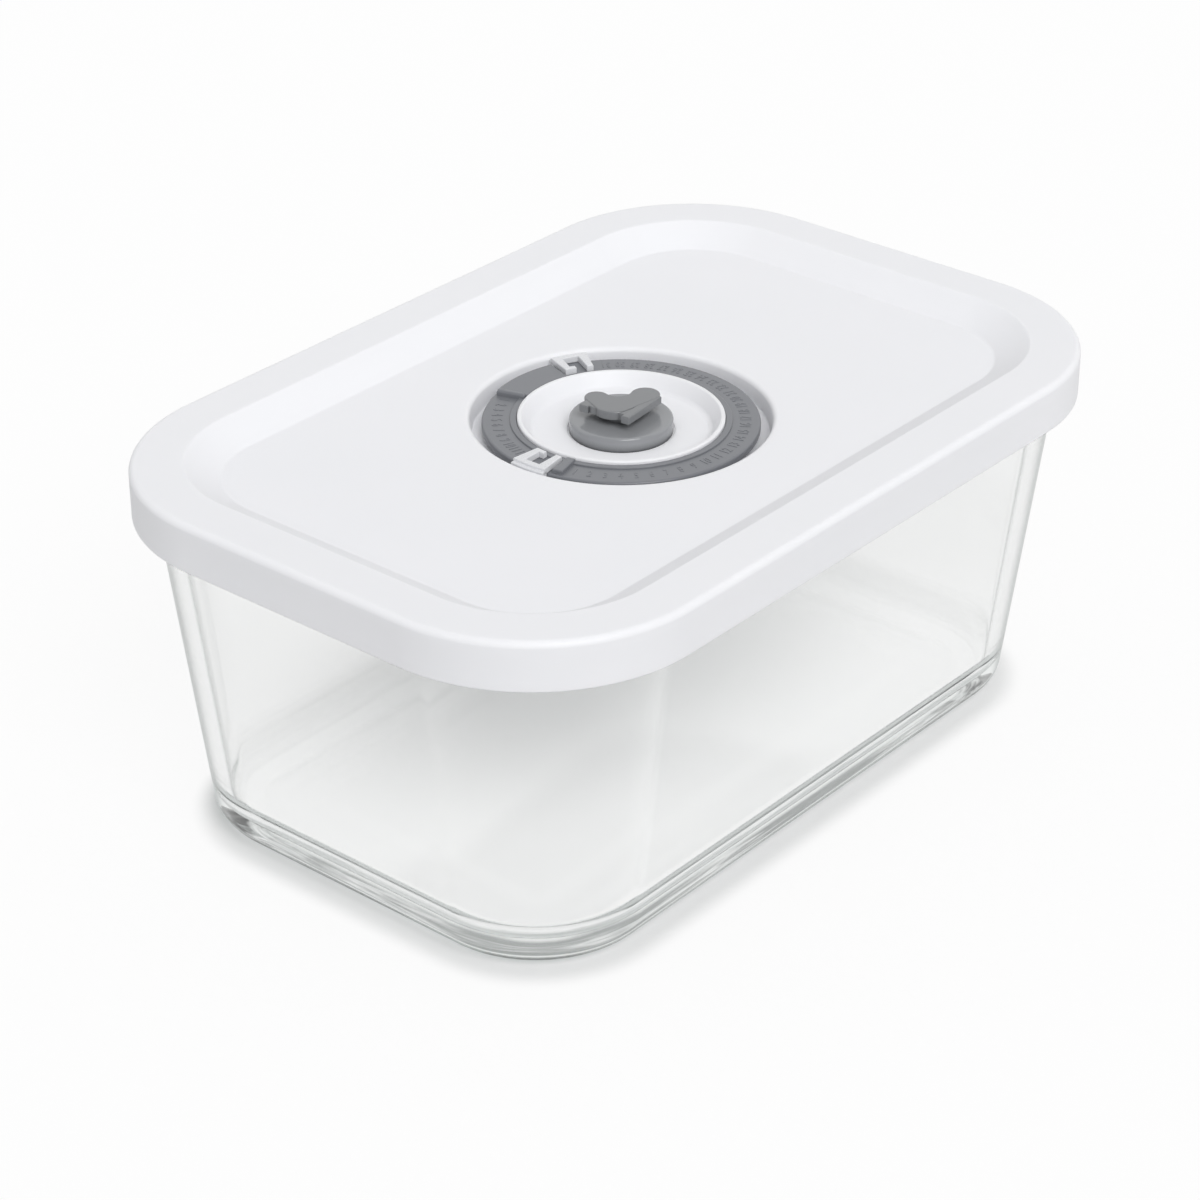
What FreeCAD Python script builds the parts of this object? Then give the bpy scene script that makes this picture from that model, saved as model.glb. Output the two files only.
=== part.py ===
import FreeCAD, Part
import math
import os
import re

import Sketcher

# Vacuum food box: a tapered glass box, a dished white lid on a silicone gasket, and in the
# middle of the lid a round well that holds a date ring with two sliding markers and, inside
# the ring, the pump cup with its lift valve.
# Frame: +X along the long side, +Z up, origin on the table under the middle of the box.

FULL_TURN = 360
QUARTER_TURN = 90
AIR_HOLE_COUNT = 6
TOLERANCE = 1e-4

SIZES = {
    # glass box
    "glass_height": 88.3,
    "glass_wall": 4.2,
    "glass_floor": 6.0,
    "glass_taper": 10.4,
    "glass_corner": 39.2,
    "glass_base_round": 7.6,
    "glass_floor_round": 8.5,
    "glass_rim_round": 1.3,
    "foot_width": 5.0,
    "foot_rise": 0.8,
    # lid
    "lid_length": 222.0,
    "lid_width": 150.0,
    "lid_corner": 43.0,
    "lid_wall": 2.2,
    "lid_edge_round": 2.0,
    "skirt_height": 12.0,
    "rim_width": 12.3,
    "recess_slope": 9.0,
    "recess_depth": 4.5,
    "recess_round": 3.0,
    "rib_width": 1.8,
    "rib_depth": 7.5,
    "rib_clearance": 1.3,
    # gasket under the rim of the lid
    "gasket_thickness": 2.5,
    "gasket_lip": 1.0,
    "gasket_lip_depth": 2.6,
    "gasket_clearance": 0.3,
    "gasket_lip_gap": 0.9,
    # round well in the lid
    "well_gap": 0.7,
    "well_wall": 2.0,
    "well_floor": 1.8,
    "track_gap": 0.6,
    "seat_drop": 3.9,
    # pump cup inside the ring
    "cup_radius": 24.5,
    "cup_land": 1.0,
    "cup_lean": 2.3,
    "cup_rim_drop": 0.65,
    "cup_floor_drop": 4.4,
    "cup_floor_round": 1.5,
    "cup_rim_round": 0.45,
    "valve_seat_depth": 0.3,
    "valve_seat_clearance": 0.4,
    "air_hole_radius": 1.0,
    "air_hole_circle": 7.5,
    # date ring
    "ring_width": 8.0,
    "ring_overhang": 3.2,
    "ring_clearance": 0.1,
    "ring_thickness": 2.1,
    "ring_undercut": 0.3,
    "ring_edge_round": 0.4,
    "band_width": 1.6,
    "band_rise": 0.4,
    "blank_rise": 0.9,
    "blank_start": 71.0,
    "blank_end": 105.0,
    "end_bar_spread": 2.0,
    "end_bar_rise": 1.2,
    "stop_start": 190.0,
    "stop_spread": 4.8,
    "stop_rise": 1.1,
    "bar_margin": 0.4,
    # sliding markers on the ring
    "marker_gap": 0.3,
    "marker_side_gap": 0.5,
    "marker_stop_gap": 1.25,
    "marker_plate": 1.4,
    "marker_spread": 15.5,
    "marker_leg": 1.8,
    "marker_lip": 0.8,
    "marker_lip_reach": 1.8,
    "marker_back": 2.5,
    "marker_slot_width": 4.0,
    "marker_hook": 1.3,
    "marker_hook_width": 1.2,
    "marker_round": 0.3,
    # lift valve
    "seal_radius": 12.3,
    "seal_height": 3.6,
    "seal_round": 1.2,
    "seal_lip": 1.8,
    "seal_hollow": 0.4,
    "stem_radius": 2.4,
    "stem_clearance": 0.3,
    "stem_seat_clearance": 0.05,
    "valve_lift": 2.0,
    "barb_radius": 3.4,
    "barb_tip_radius": 1.8,
    "barb_height": 2.0,
    "barb_clearance": 0.2,
    "collar_radius": 4.0,
    "collar_height": 2.1,
    "tab_thickness": 2.0,
    "tab_turn": 5.5,
    "tab_round": 0.35,
    "rear_lobe_radius": 2.9,
    "rear_lobe_x": -2.3,
    "rear_lobe_y": 6.2,
    "right_lobe_radius": 2.9,
    "right_lobe_x": 6.0,
    "right_lobe_y": -2.0,
    "left_lobe_radius": 4.1,
    "left_lobe_x": -3.4,
    "left_lobe_y": -0.5,
    "tab_notch_radius": 3.2,
    "tab_bar_width": 1.8,
    "tab_bar_lap": 0.4,
    "tab_bar_overhang": 1.4,
    "tab_bar_rise": 0.2,
    "tab_nub": 1.8,
    "tab_nub_drop": 0.3,
    # every cut runs this far past the faces that it opens
    "overrun": 1.0,
}

# Heights and outlines that several pieces share, written in the sizes above.
RIM_UNDERSIDE = "(glass_height + gasket_thickness)"
LID_TOP = f"({RIM_UNDERSIDE} + lid_wall)"
SKIRT_BOTTOM = f"({LID_TOP} - skirt_height)"
PANEL_TOP = f"({LID_TOP} - recess_depth)"
PANEL_UNDERSIDE = f"({PANEL_TOP} - lid_wall)"
LID_OVERHANG = "(lid_wall + gasket_clearance + gasket_lip + gasket_lip_gap)"
RIB_INSET = f"({LID_OVERHANG} + glass_wall + rib_clearance)"
RING_SEAT = f"({PANEL_TOP} - seat_drop)"
LIP_TOP = f"({RING_SEAT} + ring_undercut - marker_gap)"
TRACK_FLOOR = f"({LIP_TOP} - marker_lip - track_gap)"
WELL_UNDERSIDE = f"({TRACK_FLOOR} - well_floor)"
CUP_FLOOR = f"({PANEL_TOP} - cup_floor_drop)"
VALVE_SEAT = f"({CUP_FLOOR} - valve_seat_depth)"
VALVE_SEAT_RADIUS = "(seal_radius + valve_seat_clearance)"
CUP_RIM = f"({PANEL_TOP} - cup_rim_drop)"
CUP_RIM_RADIUS = "(cup_radius - cup_land)"
CUP_FLOOR_RADIUS = f"({CUP_RIM_RADIUS} - cup_lean)"
SCALE_TOP = f"({RING_SEAT} + ring_thickness)"
RING_BORE = "(cup_radius + ring_clearance)"
BAND_RADIUS = f"({RING_BORE} + band_width)"
RING_RADIUS = f"({RING_BORE} + ring_width)"
SEAT_RADIUS = f"({RING_RADIUS} - ring_overhang)"
LEG_RADIUS = f"({RING_RADIUS} + marker_side_gap)"
MARKER_RADIUS = f"({LEG_RADIUS} + marker_leg)"
WELL_RADIUS = f"({MARKER_RADIUS} + well_gap)"
DAY_MARKER_ANGLE = "(blank_start - marker_stop_gap - marker_spread / 2)"
MONTH_MARKER_ANGLE = "(stop_start - marker_stop_gap - marker_spread / 2)"
MARKER_BOTTOM = f"({SCALE_TOP} + marker_gap)"
MARKER_TOP = f"({MARKER_BOTTOM} + marker_plate)"
MARKER_TIP_RADIUS = f"({BAND_RADIUS} + marker_gap)"
GUIDE_RADIUS = "(stem_radius + stem_clearance)"
SEAL_TOP = f"({VALVE_SEAT} + seal_height)"
TAB_BOTTOM = f"({SEAL_TOP} + collar_height)"
BARB_TOP = f"({WELL_UNDERSIDE} - valve_lift - barb_clearance)"
GLASS_TOP_LENGTH = f"(lid_length - 2 * {LID_OVERHANG})"
GLASS_TOP_WIDTH = f"(lid_width - 2 * {LID_OVERHANG})"
# how far the underside of the sloping wall stands back from its upper face
SLOPE_LENGTH = "sqrt(recess_slope ^ 2 + recess_depth ^ 2)"
SLOPE_SETBACK = f"(lid_wall * ({SLOPE_LENGTH} - recess_slope) / recess_depth)"

doc = FreeCAD.newDocument("VacuumFoodBox")
sheet = doc.addObject("Spreadsheet::Sheet", "Sizes")
for row, (alias, number) in enumerate(SIZES.items(), start=1):
    sheet.set(f"A{row}", alias)
    sheet.set(f"B{row}", str(number))
    sheet.setAlias(f"B{row}", alias)
doc.recompute()


def in_sheet(text):
    """Turns the names of sizes in a formula into references to the sheet's cells."""
    def cell(word):
        return f"Sizes.{word[0]}" if word[0] in SIZES else word[0]
    return re.sub(r"[a-z_]+", cell, text)


def value(text):
    """Gives the present value of a formula."""
    return float(sheet.evalExpression(in_sheet(text)))


def bind(target, name, text):
    """Binds one property of an object to a formula."""
    target.setExpression(name, in_sheet(text))


def new_body(label, turn=None):
    """Starts a piece, turned about the upright axis if an angle is given."""
    body = doc.addObject("PartDesign::Body", label)
    body.Label = label
    if turn:
        bind(body, "Placement.Rotation.Angle", turn)
    return body


def new_sketch(body, name, height=None, plane="XY_Plane", turn=None):
    """Attaches a sketch to one of the body's own planes, raised and turned as asked."""
    sketch = body.newObject("Sketcher::SketchObject", name)
    support = [feature for feature in body.Origin.OriginFeatures if feature.Role == plane]
    sketch.AttachmentSupport = [(support[0], "")]
    sketch.MapMode = "FlatFace"
    if height:
        bind(sketch, "AttachmentOffset.Base.z", height)
    if turn:
        bind(sketch, "AttachmentOffset.Rotation.Angle", turn)
    return sketch


def dimension(sketch, kind, *where):
    """Adds a dimension whose last argument is a formula, bound to the sheet."""
    *places, text = where
    number = value(text)
    index = sketch.addConstraint(Sketcher.Constraint(kind, *places, number))
    bind(sketch, f"Constraints[{index}]", text)


def relate(sketch, kind, *where):
    """Adds a constraint that has no size."""
    sketch.addConstraint(Sketcher.Constraint(kind, *where))


def place_point(sketch, curve, end, across, along):
    """Dimensions one point of a curve from the sketch's origin; zero lies on the axis."""
    for kind, axis, text in (("DistanceX", -2, across), ("DistanceY", -1, along)):
        if value(text) == 0:
            relate(sketch, "PointOnObject", curve, end, axis)
        else:
            dimension(sketch, kind, -1, 1, curve, end, text)


def arc_about(centre, radius, start, end):
    """Gives an arc of a circle, with its angles in degrees."""
    whole = Part.Circle(FreeCAD.Vector(*centre, 0), FreeCAD.Vector(0, 0, 1), radius)
    return Part.ArcOfCircle(whole, math.radians(start), math.radians(end))


def segment(start, end):
    """Gives a straight line between two points of a sketch."""
    return Part.LineSegment(FreeCAD.Vector(*start, 0), FreeCAD.Vector(*end, 0))


def rounded_rectangle(sketch, length, width, corner):
    """Draws a centred rectangle with round corners."""
    radius = value(corner)
    reach_x = value(length) / 2 - radius
    reach_y = value(width) / 2 - radius
    arcs = []
    for quarter, (side_x, side_y) in enumerate(((1, 1), (-1, 1), (-1, -1), (1, -1))):
        centre = (side_x * reach_x, side_y * reach_y)
        start = quarter * QUARTER_TURN
        arcs.append(sketch.addGeometry(arc_about(centre, radius, start, start + QUARTER_TURN)))
    lines = []
    for here, after in zip(arcs, arcs[1:] + arcs[:1]):
        leave = sketch.getPoint(here, 2)
        reach = sketch.getPoint(after, 1)
        line = sketch.addGeometry(Part.LineSegment(leave, reach))
        relate(sketch, "Tangent", here, 2, line, 1)
        relate(sketch, "Tangent", line, 2, after, 1)
        lines.append(line)
    for line, kind in zip(lines, ("Horizontal", "Vertical", "Horizontal", "Vertical")):
        relate(sketch, kind, line)
    for arc in arcs[1:]:
        relate(sketch, "Equal", arcs[0], arc)
    relate(sketch, "Symmetric", arcs[0], 3, arcs[2], 3, -1, 1)
    dimension(sketch, "Radius", arcs[0], corner)
    dimension(sketch, "DistanceX", lines[1], 1, lines[3], 1, length)
    dimension(sketch, "DistanceY", lines[2], 1, lines[0], 1, width)


def circle(sketch, radius, offset=None):
    """Draws a circle on the origin, or on the X axis at an offset."""
    middle = value(offset) if offset else 0
    ring = sketch.addGeometry(
        Part.Circle(FreeCAD.Vector(middle, 0, 0), FreeCAD.Vector(0, 0, 1), value(radius)))
    place_point(sketch, ring, 3, offset or "0", "0")
    dimension(sketch, "Radius", ring, radius)


def polygon(sketch, points):
    """Draws a closed outline of straight lines through points written as formulas."""
    spots = [(value(across), value(along)) for across, along in points]
    ends = zip(spots, spots[1:] + spots[:1])
    lines = [sketch.addGeometry(segment(here, after)) for here, after in ends]
    for here, after in zip(lines, lines[1:] + lines[:1]):
        relate(sketch, "Coincident", here, 2, after, 1)
    for line, (across, along) in zip(lines, points):
        place_point(sketch, line, 1, across, along)


def rectangle(sketch, left, right, front, rear):
    """Draws a rectangle from the places of its four sides."""
    polygon(sketch, [(left, front), (right, front), (right, rear), (left, rear)])


def ring_sector(sketch, inner, outer, start, end):
    """Draws a piece of a flat ring between two radii and two angles."""
    first = value(start)
    last = value(end)
    near = sketch.addGeometry(arc_about((0, 0), value(inner), first, last))
    far = sketch.addGeometry(arc_about((0, 0), value(outer), first, last))
    for arc, radius in ((near, inner), (far, outer)):
        relate(sketch, "Coincident", arc, 3, -1, 1)
        dimension(sketch, "Radius", arc, radius)
    for point, angle in ((1, start), (2, end)):
        radial = Part.LineSegment(sketch.getPoint(near, point), sketch.getPoint(far, point))
        side = sketch.addGeometry(radial)
        relate(sketch, "Coincident", side, 1, near, point)
        relate(sketch, "Coincident", side, 2, far, point)
        relate(sketch, "PointOnObject", -1, 1, side)
        index = sketch.addConstraint(Sketcher.Constraint("Angle", side, math.radians(value(angle))))
        bind(sketch, f"Constraints[{index}]", f"({angle}) * 1 deg")


def pad(body, sketch, length, downward=False):
    """Raises a sketch into material, or hangs it below its plane."""
    feature = body.newObject("PartDesign::Pad", f"{sketch.Name}_pad")
    feature.Profile = sketch
    bind(feature, "Length", length)
    feature.Reversed = downward
    doc.recompute()
    return feature


def pocket(body, sketch, depth, upward=False):
    """Cuts a sketch into the material below its plane, or above it."""
    before = body.Shape.Volume
    feature = body.newObject("PartDesign::Pocket", f"{sketch.Name}_pocket")
    feature.Profile = sketch
    bind(feature, "Length", depth)
    feature.Reversed = upward
    doc.recompute()
    if not body.Shape.Volume < before:
        raise RuntimeError(f"{feature.Name} cuts nothing")
    return feature


def loft(body, kind, sections):
    """Joins flat outlines by straight rulings, as material or as a cut."""
    feature = body.newObject(kind, f"{sections[0].Name}_loft")
    feature.Profile = sections[0]
    feature.Sections = sections[1:]
    feature.Ruled = True
    doc.recompute()
    return feature


def revolve(body, sketch, angle=None):
    """Turns a profile about the upright axis, all round or through an angle about its plane."""
    feature = body.newObject("PartDesign::Revolution", f"{sketch.Name}_turn")
    feature.Profile = sketch
    feature.ReferenceAxis = (sketch, ["V_Axis"])
    if angle:
        feature.Midplane = True
        bind(feature, "Angle", angle)
    else:
        feature.Angle = FULL_TURN
    doc.recompute()
    return feature


def fillet(body, name, edges, radius):
    """Rounds the given edges of the body's present shape."""
    names = [f"Edge{index}" for index, edge in enumerate(body.Shape.Edges, start=1)
             if any(edge.isSame(chosen) for chosen in edges)]
    sharp = body.Tip
    feature = body.newObject("PartDesign::Fillet", name)
    feature.Base = (sharp, names)
    bind(feature, "Radius", radius)
    doc.recompute()
    return feature


def same(first, second):
    """Tells whether two lengths agree within the modeller's tolerance."""
    return math.isclose(first, second, abs_tol=TOLERANCE)


def level_edges(body, height):
    """Lists the body's edges that lie flat at a height."""
    level = value(height)
    return [edge for edge in body.Shape.Edges
            if same(edge.BoundBox.ZMin, level) and same(edge.BoundBox.ZMax, level)]


def outline_edges(body, height, length):
    """Lists the level edges that make up the centred outline of a given length."""
    reach = value(length) / 2
    loops = Part.sortEdges(level_edges(body, height))
    chosen = [loop for loop in loops if same(Part.Wire(loop).BoundBox.XMax, reach)]
    return [edge for edge in level_edges(body, height)
            for loop in chosen if any(edge.isSame(other) for other in loop)]


def round_edges(body, height, radius):
    """Lists the full circles of the body that lie flat at a height with a given radius."""
    return [edge for edge in level_edges(body, height)
            if isinstance(edge.Curve, Part.Circle) and same(edge.Curve.Radius, value(radius))]


def glass_outline(sketch, height_share, inset):
    """Draws the box's outline at a share of its height, moved in from the outer face."""
    narrowing = f"(glass_taper * (1 - {height_share}) + {inset})"
    length = f"{GLASS_TOP_LENGTH} - 2 * {narrowing}"
    width = f"{GLASS_TOP_WIDTH} - 2 * {narrowing}"
    rounded_rectangle(sketch, length, width, f"glass_corner - {narrowing}")
    return sketch


def lid_outline(sketch, inset):
    """Draws the lid's outline moved in from its outer face."""
    length = f"lid_length - 2 * ({inset})"
    width = f"lid_width - 2 * ({inset})"
    rounded_rectangle(sketch, length, width, f"lid_corner - ({inset})")
    return sketch


def make_glass_box():
    """Pressed glass: tapered walls, round corners, a thick floor and a bearing rim below."""
    body = new_body("glass_box")
    floor_share = "(glass_floor / glass_height)"
    base = glass_outline(new_sketch(body, "glass_base"), "0", "0")
    brim = glass_outline(new_sketch(body, "glass_brim", "glass_height"), "1", "0")
    loft(body, "PartDesign::AdditiveLoft", [base, brim])
    floor = new_sketch(body, "glass_inner_floor", "glass_floor")
    glass_outline(floor, floor_share, "glass_wall")
    mouth = glass_outline(new_sketch(body, "glass_mouth", "glass_height"), "1", "glass_wall")
    loft(body, "PartDesign::SubtractiveLoft", [floor, mouth])
    base_length = f"{GLASS_TOP_LENGTH} - 2 * glass_taper"
    inner_length = f"{GLASS_TOP_LENGTH} - 2 * (glass_taper * (1 - {floor_share}) + glass_wall)"
    fillet(body, "glass_base_edge", outline_edges(body, "0", base_length), "glass_base_round")
    floor_edges = outline_edges(body, "glass_floor", inner_length)
    fillet(body, "glass_floor_edge", floor_edges, "glass_floor_round")
    fillet(body, "glass_brim_edge", level_edges(body, "glass_height"), "glass_rim_round")
    hollow = glass_outline(new_sketch(body, "glass_foot"), "0", "(glass_base_round + foot_width)")
    pocket(body, hollow, "foot_rise", upward=True)
    return body


def well_profile():
    """Gives the section of the lid's well from its outer wall to the valve's guide hole."""
    return [
        (f"{WELL_RADIUS} + well_wall", WELL_UNDERSIDE),
        (f"{WELL_RADIUS} + well_wall", PANEL_TOP),
        (WELL_RADIUS, PANEL_TOP),
        (WELL_RADIUS, TRACK_FLOOR),
        (SEAT_RADIUS, TRACK_FLOOR),
        (SEAT_RADIUS, RING_SEAT),
        ("cup_radius", RING_SEAT),
        ("cup_radius", CUP_RIM),
        (CUP_RIM_RADIUS, CUP_RIM),
        (CUP_FLOOR_RADIUS, CUP_FLOOR),
        (VALVE_SEAT_RADIUS, CUP_FLOOR),
        (VALVE_SEAT_RADIUS, VALVE_SEAT),
        (GUIDE_RADIUS, VALVE_SEAT),
        (GUIDE_RADIUS, WELL_UNDERSIDE),
    ]


def make_lid_shell():
    """Moulded lid: skirt, raised rim, dished panel, locating rib and the well in the middle."""
    body = new_body("lid_shell")
    panel_inset = "rim_width + recess_slope"
    pad(body, lid_outline(new_sketch(body, "lid_outline", SKIRT_BOTTOM), "0"), "skirt_height")
    fillet(body, "lid_edge", level_edges(body, LID_TOP), "lid_edge_round")
    underside = lid_outline(new_sketch(body, "lid_hollow", SKIRT_BOTTOM), "lid_wall")
    pocket(body, underside, "skirt_height - lid_wall", upward=True)
    dish_floor = new_sketch(body, "dish_floor", PANEL_UNDERSIDE)
    lid_outline(dish_floor, f"{panel_inset} - {SLOPE_SETBACK}")
    dish_top = new_sketch(body, "dish_top", RIM_UNDERSIDE)
    lid_outline(dish_top, f"rim_width - {SLOPE_SETBACK}")
    loft(body, "PartDesign::AdditiveLoft", [dish_floor, dish_top])
    recess_top = lid_outline(new_sketch(body, "recess_top", LID_TOP), "rim_width")
    recess_floor = lid_outline(new_sketch(body, "recess_floor", PANEL_TOP), panel_inset)
    loft(body, "PartDesign::SubtractiveLoft", [recess_top, recess_floor])
    rim_edges = outline_edges(body, LID_TOP, "lid_length - 2 * rim_width")
    panel_edges = outline_edges(body, PANEL_TOP, f"lid_length - 2 * ({panel_inset})")
    fillet(body, "recess_edges", rim_edges + panel_edges, "recess_round")
    rib = new_sketch(body, "locating_rib", RIM_UNDERSIDE)
    lid_outline(rib, RIB_INSET)
    lid_outline(rib, f"{RIB_INSET} + rib_width")
    pad(body, rib, "rib_depth", downward=True)
    mouth = new_sketch(body, "well_mouth", PANEL_TOP)
    circle(mouth, WELL_RADIUS)
    pocket(body, mouth, "lid_wall + overrun")
    section = new_sketch(body, "well_section", plane="XZ_Plane")
    polygon(section, well_profile())
    revolve(body, section)
    floor_edge = round_edges(body, CUP_FLOOR, CUP_FLOOR_RADIUS)
    fillet(body, "cup_floor_edge", floor_edge, "cup_floor_round")
    outer_edge = round_edges(body, CUP_RIM, "cup_radius")
    inner_edge = round_edges(body, CUP_RIM, CUP_RIM_RADIUS)
    fillet(body, "cup_rim_edges", outer_edge + inner_edge, "cup_rim_round")
    hole = new_sketch(body, "air_hole", VALVE_SEAT)
    circle(hole, "air_hole_radius", "air_hole_circle")
    drilled = pocket(body, hole, f"{VALVE_SEAT} - {WELL_UNDERSIDE} + overrun")
    pattern = body.newObject("PartDesign::PolarPattern", "air_holes")
    pattern.Originals = [drilled]
    pattern.Axis = (hole, ["N_Axis"])
    pattern.Angle = FULL_TURN
    pattern.Occurrences = AIR_HOLE_COUNT
    body.Tip = pattern
    return body


def make_lid_gasket():
    """Silicone gasket under the rim: a flat band on the glass and a lip round its outside."""
    body = new_body("lid_gasket")
    outer = "lid_wall + gasket_clearance"
    inner = f"{RIB_INSET} - gasket_clearance"
    band = new_sketch(body, "gasket_band", "glass_height")
    lid_outline(band, outer)
    lid_outline(band, inner)
    pad(body, band, "gasket_thickness")
    lip = new_sketch(body, "gasket_lip_ring", "glass_height")
    lid_outline(lip, outer)
    lid_outline(lip, f"{outer} + gasket_lip")
    pad(body, lip, "gasket_lip_depth", downward=True)
    return body


def raised_sector(body, name, start, end, rise, margin="0"):
    """Raises a piece of the ring's scale between two angles, held back from both of its edges."""
    sector = new_sketch(body, name, SCALE_TOP)
    inner = f"{RING_BORE} + {margin}"
    outer = f"{RING_RADIUS} - ring_edge_round - {margin}"
    ring_sector(sector, inner, outer, start, end)
    pad(body, sector, rise)


def make_date_ring():
    """Fixed ring round the cup: inner band, two sunk scales, a raised blank and two stop bars."""
    body = new_body("date_ring")
    section = new_sketch(body, "ring_section", plane="XZ_Plane")
    step = f"({SEAT_RADIUS} - ring_clearance)"
    polygon(section, [
        (RING_BORE, RING_SEAT),
        (step, RING_SEAT),
        (step, f"{RING_SEAT} + ring_undercut"),
        (RING_RADIUS, f"{RING_SEAT} + ring_undercut"),
        (RING_RADIUS, SCALE_TOP),
        (BAND_RADIUS, SCALE_TOP),
        (BAND_RADIUS, f"{SCALE_TOP} + band_rise"),
        (RING_BORE, f"{SCALE_TOP} + band_rise"),
    ])
    revolve(body, section)
    fillet(body, "ring_edge", round_edges(body, SCALE_TOP, RING_RADIUS), "ring_edge_round")
    raised_sector(body, "ring_blank", "blank_start", "blank_end", "blank_rise")
    end_bar_end = "blank_end + end_bar_spread"
    raised_sector(body, "end_bar", "blank_end", end_bar_end, "end_bar_rise", "bar_margin")
    stop_end = "stop_start + stop_spread"
    raised_sector(body, "stop_bar", "stop_start", stop_end, "stop_rise", "bar_margin")
    return body


def make_marker(label, angle, hook_side):
    """Sliding marker: a forked plate over the scale, a leg by the ring's edge, a lip under it."""
    body = new_body(label, angle)
    section = new_sketch(body, f"{label}_section", plane="XZ_Plane")
    lip_tip = f"{RING_RADIUS} - marker_lip_reach"
    polygon(section, [
        (MARKER_TIP_RADIUS, MARKER_BOTTOM),
        (LEG_RADIUS, MARKER_BOTTOM),
        (LEG_RADIUS, LIP_TOP),
        (lip_tip, LIP_TOP),
        (lip_tip, f"{LIP_TOP} - marker_lip"),
        (MARKER_RADIUS, f"{LIP_TOP} - marker_lip"),
        (MARKER_RADIUS, MARKER_TOP),
        (MARKER_TIP_RADIUS, MARKER_TOP),
    ])
    revolve(body, section, "marker_spread")
    slot = new_sketch(body, f"{label}_slot", MARKER_TOP)
    plain = f"{-hook_side} * marker_slot_width / 2"
    hooked = f"{hook_side} * marker_slot_width / 2"
    hook_face = f"{hook_side} * (marker_slot_width / 2 - marker_hook)"
    mouth = f"{MARKER_TIP_RADIUS} - overrun"
    back = f"{MARKER_RADIUS} - marker_back"
    hook_end = f"{MARKER_TIP_RADIUS} + marker_hook_width"
    polygon(slot, [
        (mouth, plain),
        (back, plain),
        (back, hooked),
        (hook_end, hooked),
        (hook_end, hook_face),
        (mouth, hook_face),
    ])
    pocket(body, slot, "marker_plate + overrun")
    fillet(body, f"{label}_edges", level_edges(body, MARKER_TOP), "marker_round")
    return body


def make_valve_seal():
    """Silicone disc on its seat over the air holes, hollow inside its sealing lip."""
    body = new_body("valve_seal")
    section = new_sketch(body, "seal_section", plane="XZ_Plane")
    bore = "stem_radius + stem_seat_clearance"
    polygon(section, [
        (bore, f"{VALVE_SEAT} + seal_hollow"),
        ("seal_radius - seal_lip", f"{VALVE_SEAT} + seal_hollow"),
        ("seal_radius - seal_lip", VALVE_SEAT),
        ("seal_radius", VALVE_SEAT),
        ("seal_radius", SEAL_TOP),
        (bore, SEAL_TOP),
    ])
    revolve(body, section)
    fillet(body, "seal_edge", round_edges(body, SEAL_TOP, "seal_radius"), "seal_round")
    return body


def tangent_line(first, second):
    """Gives where the line along the right of two circles, from first to second, touches them."""
    (x1, y1, r1), (x2, y2, r2) = first, second
    span = math.hypot(x2 - x1, y2 - y1)
    lean = math.asin((r2 - r1) / span)
    heading = math.atan2(y2 - y1, x2 - x1) - math.pi / 2 - lean
    cosine = math.cos(heading)
    sine = math.sin(heading)
    return (x1 + r1 * cosine, y1 + r1 * sine), (x2 + r2 * cosine, y2 + r2 * sine)


def hollow_centre(first, second, radius):
    """Gives the centre of the circle that touches two circles from outside, on their left."""
    (x1, y1, r1), (x2, y2, r2) = first, second
    span = math.hypot(x2 - x1, y2 - y1)
    along = (span ** 2 + (r1 + radius) ** 2 - (r2 + radius) ** 2) / (2 * span)
    aside = math.sqrt((r1 + radius) ** 2 - along ** 2)
    cosine = (x2 - x1) / span
    sine = (y2 - y1) / span
    return x1 + along * cosine - aside * sine, y1 + along * sine + aside * cosine


def angle_of(centre, spot):
    """Gives the direction of a point seen from a centre, in degrees from zero to a full turn."""
    return math.degrees(math.atan2(spot[1] - centre[1], spot[0] - centre[0])) % FULL_TURN


def arc_between(centre, radius, start, end):
    """Gives the arc about a centre that runs anticlockwise between two directions of points."""
    first = angle_of(centre, start)
    last = angle_of(centre, end)
    if last < first:
        last += FULL_TURN
    return arc_about(centre[:2], radius, first, last)


def lobed_outline(sketch):
    """Draws the tab: three round lobes, two straight flanks and a hollow between two lobes."""
    names = ("rear_lobe", "left_lobe", "right_lobe")
    parts = ("x", "y", "radius")
    rear, left, right = [tuple(value(f"{name}_{part}") for part in parts) for name in names]
    flank_start, flank_end = tangent_line(rear, left)
    front_start, front_end = tangent_line(left, right)
    notch = value("tab_notch_radius")
    middle = hollow_centre(rear, right, notch)
    rear_arc = sketch.addGeometry(arc_between(rear, rear[2], middle, flank_start))
    left_arc = sketch.addGeometry(arc_between(left, left[2], flank_end, front_start))
    right_arc = sketch.addGeometry(arc_between(right, right[2], front_end, middle))
    notch_arc = sketch.addGeometry(arc_between(middle, notch, rear, right))
    flank = sketch.addGeometry(segment(flank_start, flank_end))
    front = sketch.addGeometry(segment(front_start, front_end))
    joints = (
        (rear_arc, 2, flank, 1), (flank, 2, left_arc, 1), (left_arc, 2, front, 1),
        (front, 2, right_arc, 1), (right_arc, 2, notch_arc, 2), (notch_arc, 1, rear_arc, 1),
    )
    for joint in joints:
        relate(sketch, "Tangent", *joint)
    for arc, name in zip((rear_arc, left_arc, right_arc), names):
        place_point(sketch, arc, 3, f"{name}_x", f"{name}_y")
        dimension(sketch, "Radius", arc, f"{name}_radius")
    dimension(sketch, "Radius", notch_arc, "tab_notch_radius")


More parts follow.
